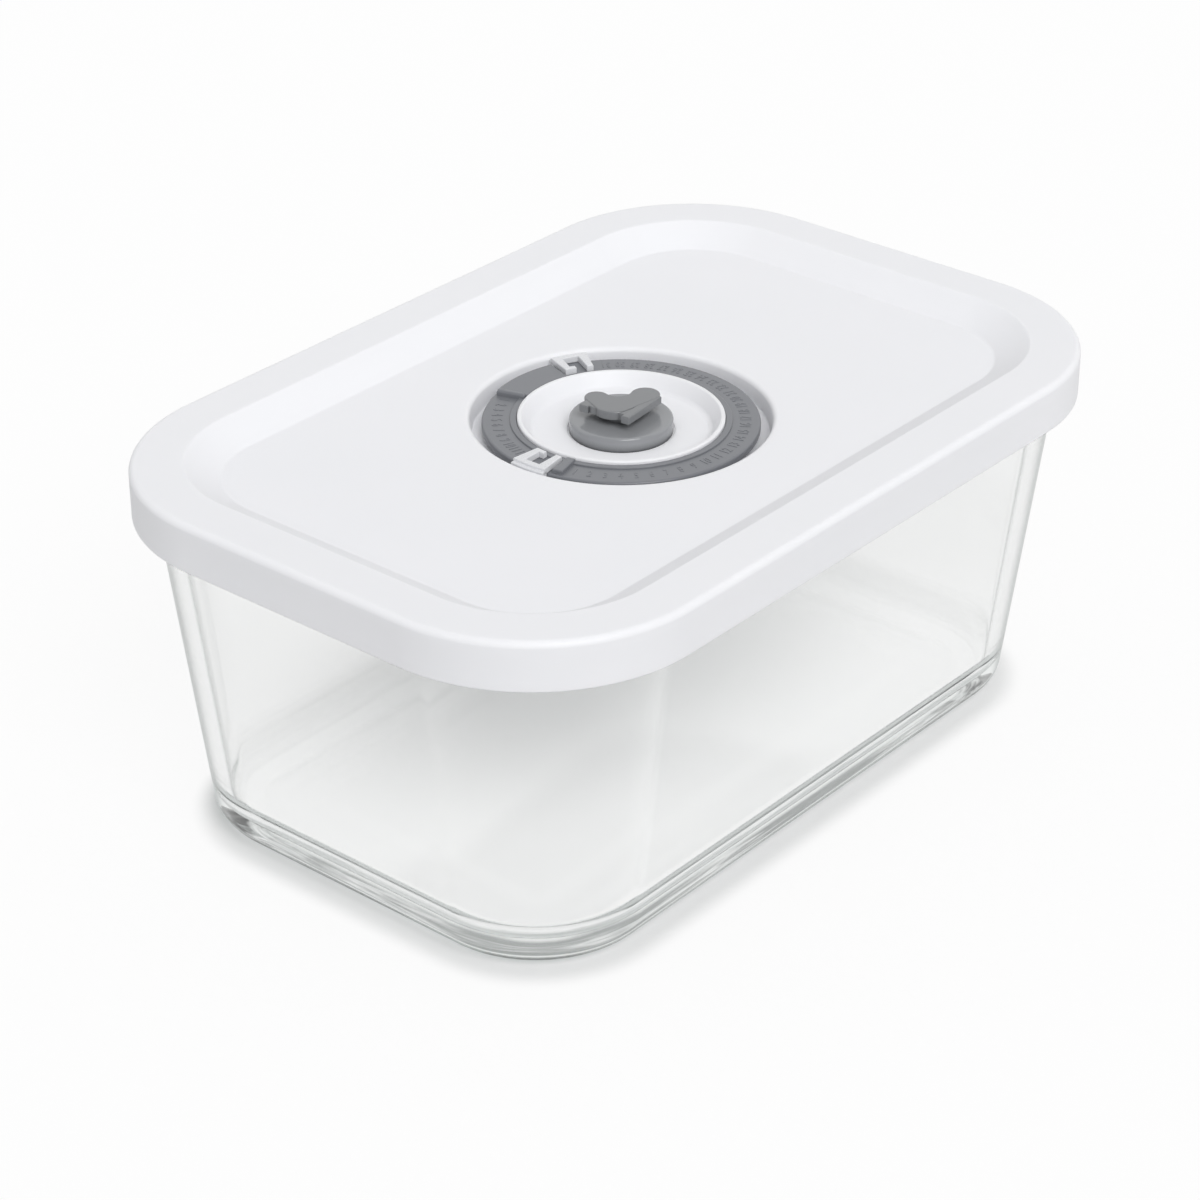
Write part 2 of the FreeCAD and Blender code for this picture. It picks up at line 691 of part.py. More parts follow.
def make_valve_tab():
    """Lift tab: a lobed plate with a bar along one side, on a barbed stem through the seal."""
    body = new_body("valve_tab", "tab_turn")
    section = new_sketch(body, "stem_section", plane="XZ_Plane")
    barb_bottom = f"({BARB_TOP} - barb_height)"
    polygon(section, [
        ("0", barb_bottom),
        ("barb_tip_radius", barb_bottom),
        ("barb_radius", BARB_TOP),
        ("stem_radius", BARB_TOP),
        ("stem_radius", SEAL_TOP),
        ("collar_radius", SEAL_TOP),
        ("collar_radius", TAB_BOTTOM),
        ("0", TAB_BOTTOM),
    ])
    revolve(body, section)
    plate = new_sketch(body, "tab_plate", TAB_BOTTOM)
    lobed_outline(plate)
    pad(body, plate, "tab_thickness")
    fillet(body, "tab_edges", level_edges(body, f"{TAB_BOTTOM} + tab_thickness"), "tab_round")
    bar = new_sketch(body, "tab_bar", TAB_BOTTOM)
    bar_inner = "(right_lobe_y - right_lobe_radius + tab_bar_lap)"
    bar_outer = f"({bar_inner} - tab_bar_width)"
    bar_left = "left_lobe_x - left_lobe_radius"
    bar_right = "right_lobe_x + tab_bar_overhang"
    rectangle(bar, bar_left, bar_right, bar_outer, bar_inner)
    pad(body, bar, "tab_thickness + tab_bar_rise")
    nub = new_sketch(body, "tab_nub_outline", TAB_BOTTOM)
    nub_right = "rear_lobe_x - rear_lobe_radius / 2"
    nub_left = "rear_lobe_x - rear_lobe_radius - tab_nub"
    nub_front = "rear_lobe_y - tab_nub / 2"
    nub_rear = "rear_lobe_y + tab_nub / 2"
    rectangle(nub, nub_left, nub_right, nub_front, nub_rear)
    pad(body, nub, "tab_thickness - tab_nub_drop")
    return body


def main():
    """Builds every piece, checks it and writes it."""
    pieces = [
        make_glass_box(),
        make_lid_shell(),
        make_lid_gasket(),
        make_date_ring(),
        make_marker("day_marker", DAY_MARKER_ANGLE, 1),
        make_marker("month_marker", MONTH_MARKER_ANGLE, -1),
        make_valve_seal(),
        make_valve_tab(),
    ]
    doc.recompute()
    failed = [item.Name for item in doc.Objects if {"Invalid", "Error"} & set(item.State)]
    if failed:
        raise RuntimeError(f"failed objects: {failed}")
    for piece in pieces:
        shape = piece.Shape
        if shape.isNull() or not shape.isValid() or len(shape.Solids) != 1:
            raise RuntimeError(f"{piece.Label} is not one valid solid")
    os.makedirs("parts", exist_ok=True)
    for piece in pieces:
        piece.Shape.exportStep(os.path.join("parts", f"{piece.Label}.step"))
        print(f"{piece.Label}: {piece.Shape.Volume:.1f} mm3")


main()
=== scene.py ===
"""Studio scene of a vacuum seal canister: a pressed glass box under a white lid with a pull valve.

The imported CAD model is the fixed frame. Each of its nodes is modelled again here with finer rounds
and gets the finish of its own material, and the date dial also gets raised numbers. Sizes are in
millimetres and angles in degrees, unless a docstring says otherwise.
"""

import logging
import math
from collections.abc import Callable, Iterable
from dataclasses import dataclass
from enum import Enum

import bmesh
import bpy
from bmesh.types import BMEdge, BMesh, BMVert
from bpy.types import ID, Material, Mesh, Node, NodeSocket as Socket, NodeTree as Tree, Object
from mathutils import Matrix, Vector


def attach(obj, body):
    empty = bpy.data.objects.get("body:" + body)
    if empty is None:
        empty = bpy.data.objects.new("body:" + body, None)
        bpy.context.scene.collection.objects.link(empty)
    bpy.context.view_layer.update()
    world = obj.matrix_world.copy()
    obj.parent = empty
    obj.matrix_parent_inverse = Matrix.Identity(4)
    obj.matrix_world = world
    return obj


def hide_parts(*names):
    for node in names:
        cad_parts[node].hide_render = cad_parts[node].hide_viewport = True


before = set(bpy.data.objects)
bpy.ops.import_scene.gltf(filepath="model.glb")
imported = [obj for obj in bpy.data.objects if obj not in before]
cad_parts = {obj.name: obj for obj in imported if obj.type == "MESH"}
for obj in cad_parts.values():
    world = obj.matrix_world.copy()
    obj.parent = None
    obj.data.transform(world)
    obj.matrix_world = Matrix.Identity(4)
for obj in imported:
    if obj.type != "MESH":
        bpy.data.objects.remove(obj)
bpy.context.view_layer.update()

MM = 0.001
UP = Vector((0.0, 0.0, 1.0))
MIDDLE = (0.0, 0.0)
QUARTER_TURN = math.pi / 2
FULL_TURN = 2 * math.pi
# In metres: how far the many steps of a turn may leave its seam open, and how level an open loop lies.
SEAM_GAP = 5e-6
LEVEL_GAP = 1e-6
# The usual step along the arcs of a flat ring.
SECTOR_STEP_DEG = 1.5
# Above 50, large faces lead the shading of the edges between them.
NORMAL_WEIGHT = 60
# The glass box: the half sides between its corner arcs, its height, and how far it narrows to its base.
GLASS_CORE = (67.4, 31.4)
GLASS_HEIGHT = 88.3
GLASS_TAPER = 10.4

Pair = tuple[float, float]
Outline = list[Pair]
Sides = tuple[float, float, float, float]

log = logging.getLogger("canister")


class Body(Enum):
    """The CAD bodies that pieces ride on."""

    BOX = "box"
    LID = "lid"
    DAY_SLIDER = "day_slider"
    MONTH_SLIDER = "month_slider"
    VALVE = "valve"


class Slot(Enum):
    """The material slots."""

    GLASS = "clear_glass"
    LID = "lid_white"
    GASKET = "gasket_silicone"
    RING = "ring_grey"
    MARKER = "marker_white"
    DISC = "valve_silicone"
    TAB = "tab_grey"


class Scale(Enum):
    """The dial's two scales, each with its last number."""

    MONTHS = 12
    DAYS = 31


# ---- shader helpers


def linear(hex_code: str) -> tuple[float, float, float, float]:
    """Turns an sRGB colour, "#rrggbb", to the linear red, green, blue and alpha that shaders take."""
    shares = [int(hex_code[i:i + 2], 16) / 255 for i in (1, 3, 5)]
    red, green, blue = (s / 12.92 if s <= 0.04045 else ((s + 0.055) / 1.055) ** 2.4 for s in shares)
    return red, green, blue, 1.0


def metres(sizes_mm: Iterable[float]) -> list[float]:
    """Turns millimetres to metres."""
    return [size * MM for size in sizes_mm]


def per_metre(size_mm: float) -> float:
    """Gives the noise scale whose features are about this many millimetres wide."""
    return 1 / (size_mm * MM)


def add_node(
    tree: Tree, kind: str, inputs: dict[str | int, object] | None = None, **settings: object
) -> Node:
    """Adds one node with its settings and links.

    Args:
        tree: The node tree that gets the node.
        kind: The node's Blender type, without the ShaderNode that each one starts with.
        inputs: A value, or an output socket to link, for each input by name or number.
        **settings: The node's own properties.

    Returns:
        The new node.
    """
    node = tree.nodes.new(f"ShaderNode{kind}")
    for name, value in settings.items():
        setattr(node, name, value)
    for key, value in (inputs or {}).items():
        if isinstance(value, Socket):
            tree.links.new(value, node.inputs[key])
        else:
            node.inputs[key].default_value = value
    return node


def calc(tree: Tree, operation: str, first: object, second: object = 0.0) -> Socket:
    """Joins two values by one sum."""
    return add_node(tree, "Math", {0: first, 1: second}, operation=operation).outputs[0]


def vector(tree: Tree, operation: str, first: object, second: object = (0.0, 0.0, 0.0)) -> Socket:
    """Joins two vectors by one sum, whose result is a vector or, for a length or a product, a value."""
    node = add_node(tree, "VectorMath", {0: first, 1: second}, operation=operation)
    return node.outputs["Value" if operation in ("LENGTH", "DOT_PRODUCT") else "Vector"]


def blend(tree: Tree, share: Socket, low: str | Socket, high: str | Socket) -> Socket:
    """Mixes two colours, each an sRGB code or a socket."""
    first, second = (linear(end) if isinstance(end, str) else end for end in (low, high))
    return add_node(tree, "Mix", {0: share, 6: first, 7: second}, data_type="RGBA").outputs[2]


def spread(tree: Tree, share: Socket, low: object, high: object) -> Socket:
    """Goes evenly from one value to another while a share goes from 0 to 1."""
    return add_node(tree, "MapRange", {"Value": share, "To Min": low, "To Max": high}).outputs["Result"]


def ramp(
    tree: Tree, value: Socket, start: float, end: float, low: object = 0.0, high: object = 1.0
) -> Socket:
    """Eases from one value to another.

    Args:
        tree: The node tree that asks.
        value: What is measured.
        start: Where the change starts.
        end: Where it ends.
        low: The result up to the start.
        high: The result from the end.

    Returns:
        The result.
    """
    return add_node(
        tree, "MapRange",
        {"Value": value, "From Min": start, "From Max": end, "To Min": low, "To Max": high},
        interpolation_type="SMOOTHSTEP",
    ).outputs["Result"]


def noise(tree: Tree, place: Socket, size_mm: float, detail: float, roughness: float = 0.5) -> Socket:
    """Makes soft noise whose features are about this many millimetres wide."""
    return add_node(
        tree, "TexNoise",
        {"Vector": place, "Scale": per_metre(size_mm), "Detail": detail, "Roughness": roughness},
    ).outputs["Fac"]


def bump(tree: Tree, height: Socket, strength: float, rise_mm: float) -> Socket:
    """Makes a shallow relief."""
    return add_node(
        tree, "Bump", {"Height": height, "Strength": strength, "Distance": rise_mm * MM}
    ).outputs["Normal"]


def reach(tree: Tree, place: Socket, core_mm: Pair) -> Socket:
    """Measures how far out a point lies from a rectangle seen from above.

    Round the box this runs straight across its walls, so it tells inner faces from outer ones.

    Args:
        tree: The node tree that asks.
        place: The object coordinates.
        core_mm: The rectangle's half sides.

    Returns:
        The distance, in metres.
    """
    beyond = vector(tree, "SUBTRACT", vector(tree, "ABSOLUTE", place), (*metres(core_mm), 1.0))
    return vector(tree, "LENGTH", vector(tree, "MAXIMUM", beyond))


def blank_material(name: str) -> tuple[Material, Tree]:
    """Starts a material and gives it with its empty node tree."""
    material = bpy.data.materials.new(name)
    material.use_nodes = True
    material.node_tree.nodes.clear()
    return material, material.node_tree


# ---- finishes


class Finish:
    """What all finishes share: a material that is made once and kept by its name."""

    name: str

    def material(self) -> Material:
        """Gives the finish's material, made at its first use."""
        return bpy.data.materials.get(self.name) or self.make()

    def make(self) -> Material:
        """Makes the material; each finish has its own way."""
        raise NotImplementedError


@dataclass(frozen=True)
class PressedGlass(Finish):
    """Pressed soda-lime glass.

    The mould leaves very broad, shallow waves, so straight lines behind it bend a little. Its cool skin
    greys the outside a trace, less so in two painted light streaks, soft pale lines painted down two
    opposite corners. The plunger leaves the inside a touch duller than the outside. The glass is clear
    through one wall and grey-green where the eye looks along a wall or the thick base: partly its own
    absorption along long paths, partly painted shade that darkens the outline where the eye grazes the
    surface. The underside and the brim let out some of the light that would else be caught in the glass.
    """

    name: str = "pressed_soda_lime_glass"
    clear: str = "#fefefe"
    skin: str = "#f7f7f7"
    # Painted shade: the grey-green that darkens the outline where the eye grazes the glass, over this facing
    # range.
    painted_outline_shade: str = "#4f5d5a"
    grazing: Pair = (0.68, 0.9)
    base_shade: str = "#949d9a"
    base_mm: Pair = (8.0, 16.0)
    depth_tint: str = "#b4c4bd"
    tint_per_metre: float = 8.0
    ior: float = 1.52
    core_mm: Pair = GLASS_CORE
    split_mm: float = 37.1
    height_mm: float = GLASS_HEIGHT
    taper_mm: float = GLASS_TAPER
    roughness: float = 0.004
    inside_roughness: float = 0.07
    inside_above_mm: float = 4.0
    wave_mm: float = 34.0
    wave_detail: Pair = (1.0, 0.4)
    wave_height_mm: float = 0.05
    wave_strength: float = 0.35
    foot_below_mm: float = 0.9
    foot_open: Pair = (0.12, 0.82)
    foot_middle: float = 0.4
    foot_middle_mm: Pair = (0.2, 3.0)
    foot_clear: float = 0.9
    foot_clear_in_mm: Pair = (0.5, 2.0)
    foot_clear_out_mm: Pair = (5.0, 9.0)
    foot_streak_mm: Pair = (24.0, 3.4)
    foot_streak_range: Pair = (0.36, 0.7)
    foot_streak_detail: float = 2.0
    foot_streak_bend: float = 0.8
    # The painted light streaks: their span across the corner, and the heights over which they fade in.
    painted_streak_mm: Pair = (-2.0, 10.0)
    painted_streak_rise_mm: Pair = (6.0, 20.0)
    brim_open: float = 0.7
    brim_mm: Pair = (81.5, 84.0)

    def wall(self, tree: Tree, place: Socket) -> tuple[Socket, Socket, Socket]:
        """Finds a point's height, its reach from the core, and 1 if it is on an outer face."""
        height = add_node(tree, "SeparateXYZ", {0: place}).outputs["Z"]
        out = reach(tree, place, self.core_mm)
        drop = calc(tree, "SUBTRACT", self.height_mm * MM, height)
        upright = calc(tree, "ADD", out, calc(tree, "MULTIPLY", drop, self.taper_mm / self.height_mm))
        return height, out, calc(tree, "GREATER_THAN", upright, self.split_mm * MM)

    def foot(self, tree: Tree, place: Socket, height: Socket, out: Socket) -> Socket:
        """Opens the underside in long streaks, where it sits tight on the table and lets light out.

        Args:
            tree: The glass's node tree.
            place: The object coordinates.
            height: The height.
            out: The reach from the core.

        Returns:
            The open share, 0 above the underside.
        """
        along, across = (per_metre(size) for size in self.foot_streak_mm)
        round_about = add_node(tree, "Mapping", {"Vector": place, "Scale": (along, along, 0.0)})
        outwards = add_node(tree, "CombineXYZ", {"Z": calc(tree, "MULTIPLY", out, across)})
        spot = vector(tree, "ADD", round_about.outputs[0], outwards.outputs[0])
        streaks = add_node(
            tree, "TexNoise",
            {"Vector": spot, "Scale": 1.0, "Detail": self.foot_streak_detail,
             "Distortion": self.foot_streak_bend},
        )
        streaky = ramp(tree, streaks.outputs["Fac"], *self.foot_streak_range, *self.foot_open)
        share = spread(tree, ramp(tree, out, *metres(self.foot_middle_mm)), self.foot_middle, streaky)
        clear = calc(
            tree, "MULTIPLY", ramp(tree, out, *metres(self.foot_clear_in_mm), 0.0, self.foot_clear),
            ramp(tree, out, *metres(self.foot_clear_out_mm), 1.0, 0.0),
        )
        share = calc(tree, "MAXIMUM", share, clear)
        return calc(tree, "MULTIPLY", share, calc(tree, "LESS_THAN", height, self.foot_below_mm * MM))

    def painted_streak(self, tree: Tree, place: Socket, height: Socket) -> Socket:
        """Marks the two painted light streaks down opposite corners, with 1 along their middle."""
        spot = add_node(tree, "SeparateXYZ", {0: place})
        out = calc(tree, "MULTIPLY", spot.outputs["X"], calc(tree, "SIGN", spot.outputs["Y"]))
        off = calc(tree, "SUBTRACT", out, self.core_mm[0] * MM)
        start, end = metres(self.painted_streak_mm)
        line = calc(tree, "MULTIPLY", ramp(tree, off, start, 0.0), ramp(tree, off, 0.0, end, 1.0, 0.0))
        return calc(tree, "MULTIPLY", line, ramp(tree, height, *metres(self.painted_streak_rise_mm)))

    def make(self) -> Material:
        """Makes the glass, which lets shadow and diffuse rays straight through.

        Returns:
            The material.
        """
        material, tree = blank_material(self.name)
        place = add_node(tree, "TexCoord").outputs["Object"]
        height, out, outer = self.wall(tree, place)
        inner = calc(tree, "SUBTRACT", 1.0, outer)
        above = calc(tree, "GREATER_THAN", height, self.inside_above_mm * MM)
        polish = spread(tree, calc(tree, "MULTIPLY", inner, above), self.roughness, self.inside_roughness)
        # The painted light streaks make the outside as clear as the inside there: a painted highlight.
        cleared = calc(tree, "MAXIMUM", inner, self.painted_streak(tree, place, height))
        skin = blend(tree, cleared, self.skin, self.clear)
        # Painted shade: the base colour turns grey-green where the eye grazes the surface, darkening the
        # outline.
        facing = add_node(tree, "LayerWeight", {"Blend": 0.5}).outputs["Facing"]
        waves = noise(tree, place, self.wave_mm, *self.wave_detail)
        glass = add_node(
            tree, "BsdfPrincipled",
            {"Base Color": blend(tree, ramp(tree, facing, *self.grazing), skin, self.painted_outline_shade),
             "Roughness": polish, "IOR": self.ior, "Transmission Weight": 1.0,
             "Normal": bump(tree, waves, self.wave_strength, self.wave_height_mm)},
        )
        path = add_node(tree, "LightPath")
        unseen = calc(tree, "MAXIMUM", path.outputs["Is Shadow Ray"], path.outputs["Is Diffuse Ray"])
        low = calc(tree, "MULTIPLY", outer, ramp(tree, height, *metres(self.base_mm), 1.0, 0.0))
        dimmed = blend(tree, calc(tree, "MULTIPLY", unseen, low), self.clear, self.base_shade)
        clear = add_node(tree, "BsdfTransparent", {"Color": dimmed})
        brim = ramp(tree, height, *metres(self.brim_mm), 0.0, self.brim_open)
        let_out = calc(tree, "MAXIMUM", self.foot(tree, place, height, out), brim)
        mixed = add_node(
            tree, "MixShader",
            {0: calc(tree, "MAXIMUM", unseen, let_out), 1: glass.outputs[0], 2: clear.outputs[0]},
        )
        depth = add_node(
            tree, "VolumeAbsorption", {"Color": linear(self.depth_tint), "Density": self.tint_per_metre}
        )
        add_node(tree, "OutputMaterial", {"Surface": mixed.outputs[0], "Volume": depth.outputs[0]})
        return material


@dataclass(frozen=True)
class MouldedPlastic(Finish):
    """An injection-moulded plastic: two near tones, a fine grain and an uneven satin gloss.

    The tool's fine texture breaks the highlight, and the melt's flow shifts the tone very slightly
    over a few centimetres. Narrow gaps can be darkened by painted shade: an ambient-occlusion darkening of
    the colour.
    """

    name: str
    pale: str
    deep: str
    roughness: float
    ior: float
    grain_mm: float
    grain_height_mm: float
    grain_strength: float
    grain_range: Pair = (0.3, 0.7)
    grain_detail: Pair = (2.0, 0.55)
    flow_mm: float = 42.0
    flow_detail: float = 2.0
    gloss_spread: float = 0.05
    scatter: float = 0.0
    scatter_mm: float = 0.6
    # How far painted shade from ambient occlusion reaches into narrow gaps, and its samples.
    painted_crevice_shade_mm: float = 0.0
    painted_crevice_shade_samples: int = 12

    def make(self) -> Material:
        """Makes the plastic.

        Returns:
            The material.
        """
        material, tree = blank_material(self.name)
        place = add_node(tree, "TexCoord").outputs["Object"]
        colour = blend(tree, noise(tree, place, self.flow_mm, self.flow_detail), self.deep, self.pale)
        # Painted shade: ambient occlusion darkens the colour in narrow gaps.
        if self.painted_crevice_shade_mm:
            colour = add_node(
                tree, "AmbientOcclusion", {"Color": colour, "Distance": self.painted_crevice_shade_mm * MM},
                samples=self.painted_crevice_shade_samples,
            ).outputs["Color"]
        grain = noise(tree, place, self.grain_mm, *self.grain_detail)
        start, end = self.grain_range
        gloss = add_node(
            tree, "MapRange",
            {"Value": grain, "From Min": start, "From Max": end,
             "To Min": self.roughness - self.gloss_spread, "To Max": self.roughness + self.gloss_spread},
        )
        plastic = add_node(
            tree, "BsdfPrincipled",
            {"Base Color": colour, "Roughness": gloss.outputs["Result"], "IOR": self.ior,
             "Subsurface Weight": self.scatter, "Subsurface Scale": self.scatter_mm * MM,
             "Subsurface Radius": (1.0, 1.0, 1.0),
             "Normal": bump(tree, grain, self.grain_strength, self.grain_height_mm)},
        )
        add_node(tree, "OutputMaterial", {"Surface": plastic.outputs[0]})
        return material


# White polypropylene from a fine-eroded tool: matte, very slightly cool, with a soft wide sheen.
LID_POLYPROPYLENE = MouldedPlastic(
    "moulded_white_polypropylene", "#f0f0f3", "#edeef1", roughness=0.46, ior=1.47,
    grain_mm=0.5, grain_height_mm=0.012, grain_strength=0.22, scatter=0.4, scatter_mm=1.5,
)
# The markers are a harder, slightly greyer white that takes a sharper highlight than the lid.
MARKER_ABS = MouldedPlastic(
    "moulded_white_abs", "#e1e2e5", "#dcdde0", roughness=0.3, ior=1.53,
    grain_mm=0.4, grain_height_mm=0.008, grain_strength=0.15,
)
# Mid-grey ABS with a satin tool finish: the ring shows a broad sheen and no mirror image.
DIAL_ABS = MouldedPlastic(
    "moulded_grey_abs", "#797b80", "#75777c", roughness=0.32, ior=1.53,
    grain_mm=0.45, grain_height_mm=0.015, grain_strength=0.2, gloss_spread=0.02,
)
# Grey silicone rubber from a polished tool: a soft light line on its round edge, painted shade under the
# tab.
DISC_SILICONE = MouldedPlastic(
    "moulded_grey_silicone", "#919396", "#8c8e91", roughness=0.17, ior=1.6,
    grain_mm=0.5, grain_height_mm=0.012, grain_strength=0.06, gloss_spread=0.03, painted_crevice_shade_mm=2.0,
)
# The tab is the same rubber a shade darker, with a little less polish and a little painted shade in its
# narrow gaps.
TAB_SILICONE = MouldedPlastic(
    "moulded_grey_silicone_tab", "#7d7f81", "#787a7d", roughness=0.2, ior=1.56,
    grain_mm=0.45, grain_height_mm=0.01, grain_strength=0.05, gloss_spread=0.03, painted_crevice_shade_mm=0.8,
)
# Unpigmented silicone: milky, with light creeping some way in.
GASKET_SILICONE = MouldedPlastic(
    "moulded_milky_silicone", "#e9ebea", "#e2e5e4", roughness=0.5, ior=1.41,
    grain_mm=0.6, grain_height_mm=0.012, grain_strength=0.15, scatter=0.4, scatter_mm=1.5,
)


# ---- sections and moulds


@dataclass(frozen=True)
class Corner:
    """A corner of a drawn section.

    It holds how far in it lies from the outline, or out from the axis, its height, the round on it
    and the number of steps that draw the round.
    """

    across: float
    height: float
    radius: float = 0.0
    steps: int = 8


@dataclass(frozen=True)
class Section:
    """A line through the wall of a piece, open or closed, drawn corner by corner."""

    corners: tuple[Corner, ...]
    closed: bool = False

    def draw(self, place: Callable[[Corner], Vector]) -> BMesh:
        """Draws the section as a wire and rounds its corners.

        Args:
            place: Gives a corner's point in metres.

        Returns:
            A new mesh that holds the wire.
        """
        bm = bmesh.new()
        points = [bm.verts.new(place(corner)) for corner in self.corners]
        ring = points + points[:1] if self.closed else points
        for ends in zip(ring, ring[1:]):
            bm.edges.new(ends)
        for corner, point in zip(self.corners, points):
            if corner.radius:
                self.round_off(bm, point, corner)
        return bm

    @staticmethod
    def round_off(bm: BMesh, point: BMVert, corner: Corner) -> None:
        """Turns one corner of the wire, at this vertex, into an arc."""
        sides = [(edge.other_vert(point).co - point.co).normalized() for edge in point.link_edges]
        turn = math.pi - sides[0].angle(sides[1])
        bmesh.ops.bevel(
            bm, geom=[point], offset=corner.radius * MM * math.tan(turn / 2), offset_type="OFFSET",
            affect="VERTICES", segments=corner.steps, profile=0.5, material=-1,
        )


@dataclass(frozen=True)
class RoundedPlan:
    """A rectangle with round corners seen from above."""

    half_length: float
    half_width: float
    corner: float
    corner_steps: int = 40

    def centre(self, side_x: int, side_y: int) -> Vector:
        """Gives the centre of one corner's arc, in metres."""
        across, along = self.half_length - self.corner, self.half_width - self.corner
        return Vector((side_x * across * MM, side_y * along * MM, 0.0))

    def place(self, corner: Corner) -> Vector:
        """Puts a section's corner on the right-hand side, where the first arc begins, in metres."""
        start = self.centre(1, 1)
        return Vector((start.x + (self.corner - corner.across) * MM, start.y, corner.height * MM))


def arc(centre: Pair, radius: float, start_deg: float, end_deg: float, steps: int) -> Outline:
    """Draws an arc of so many steps."""
    angles = (math.radians(start_deg + (end_deg - start_deg) * step / steps) for step in range(steps + 1))
    return [(centre[0] + radius * math.cos(a), centre[1] + radius * math.sin(a)) for a in angles]


def sector(inner: float, outer: float, start_deg: float, end_deg: float) -> Outline:
    """Draws a piece of a flat ring between two radii."""
    steps = max(2, round((end_deg - start_deg) / SECTOR_STEP_DEG))
    return arc(MIDDLE, outer, start_deg, end_deg, steps) + arc(MIDDLE, inner, end_deg, start_deg, steps)


def turned(outline: Outline, angle_deg: float) -> Outline:
    """Turns an outline about the axis."""
    cosine, sine = math.cos(math.radians(angle_deg)), math.sin(math.radians(angle_deg))
    return [(x * cosine - y * sine, x * sine + y * cosine) for x, y in outline]


def only(items: Iterable[object], *kinds: type) -> list:
    """Picks the items of some kinds from an operator's result."""
    return [item for item in items if isinstance(item, kinds)]


def put(name: str, data: ID) -> Object:
    """Puts new data in the scene as an object at the origin."""
    holder = bpy.data.objects.new(name, data)
    bpy.context.scene.collection.objects.link(holder)
    return holder


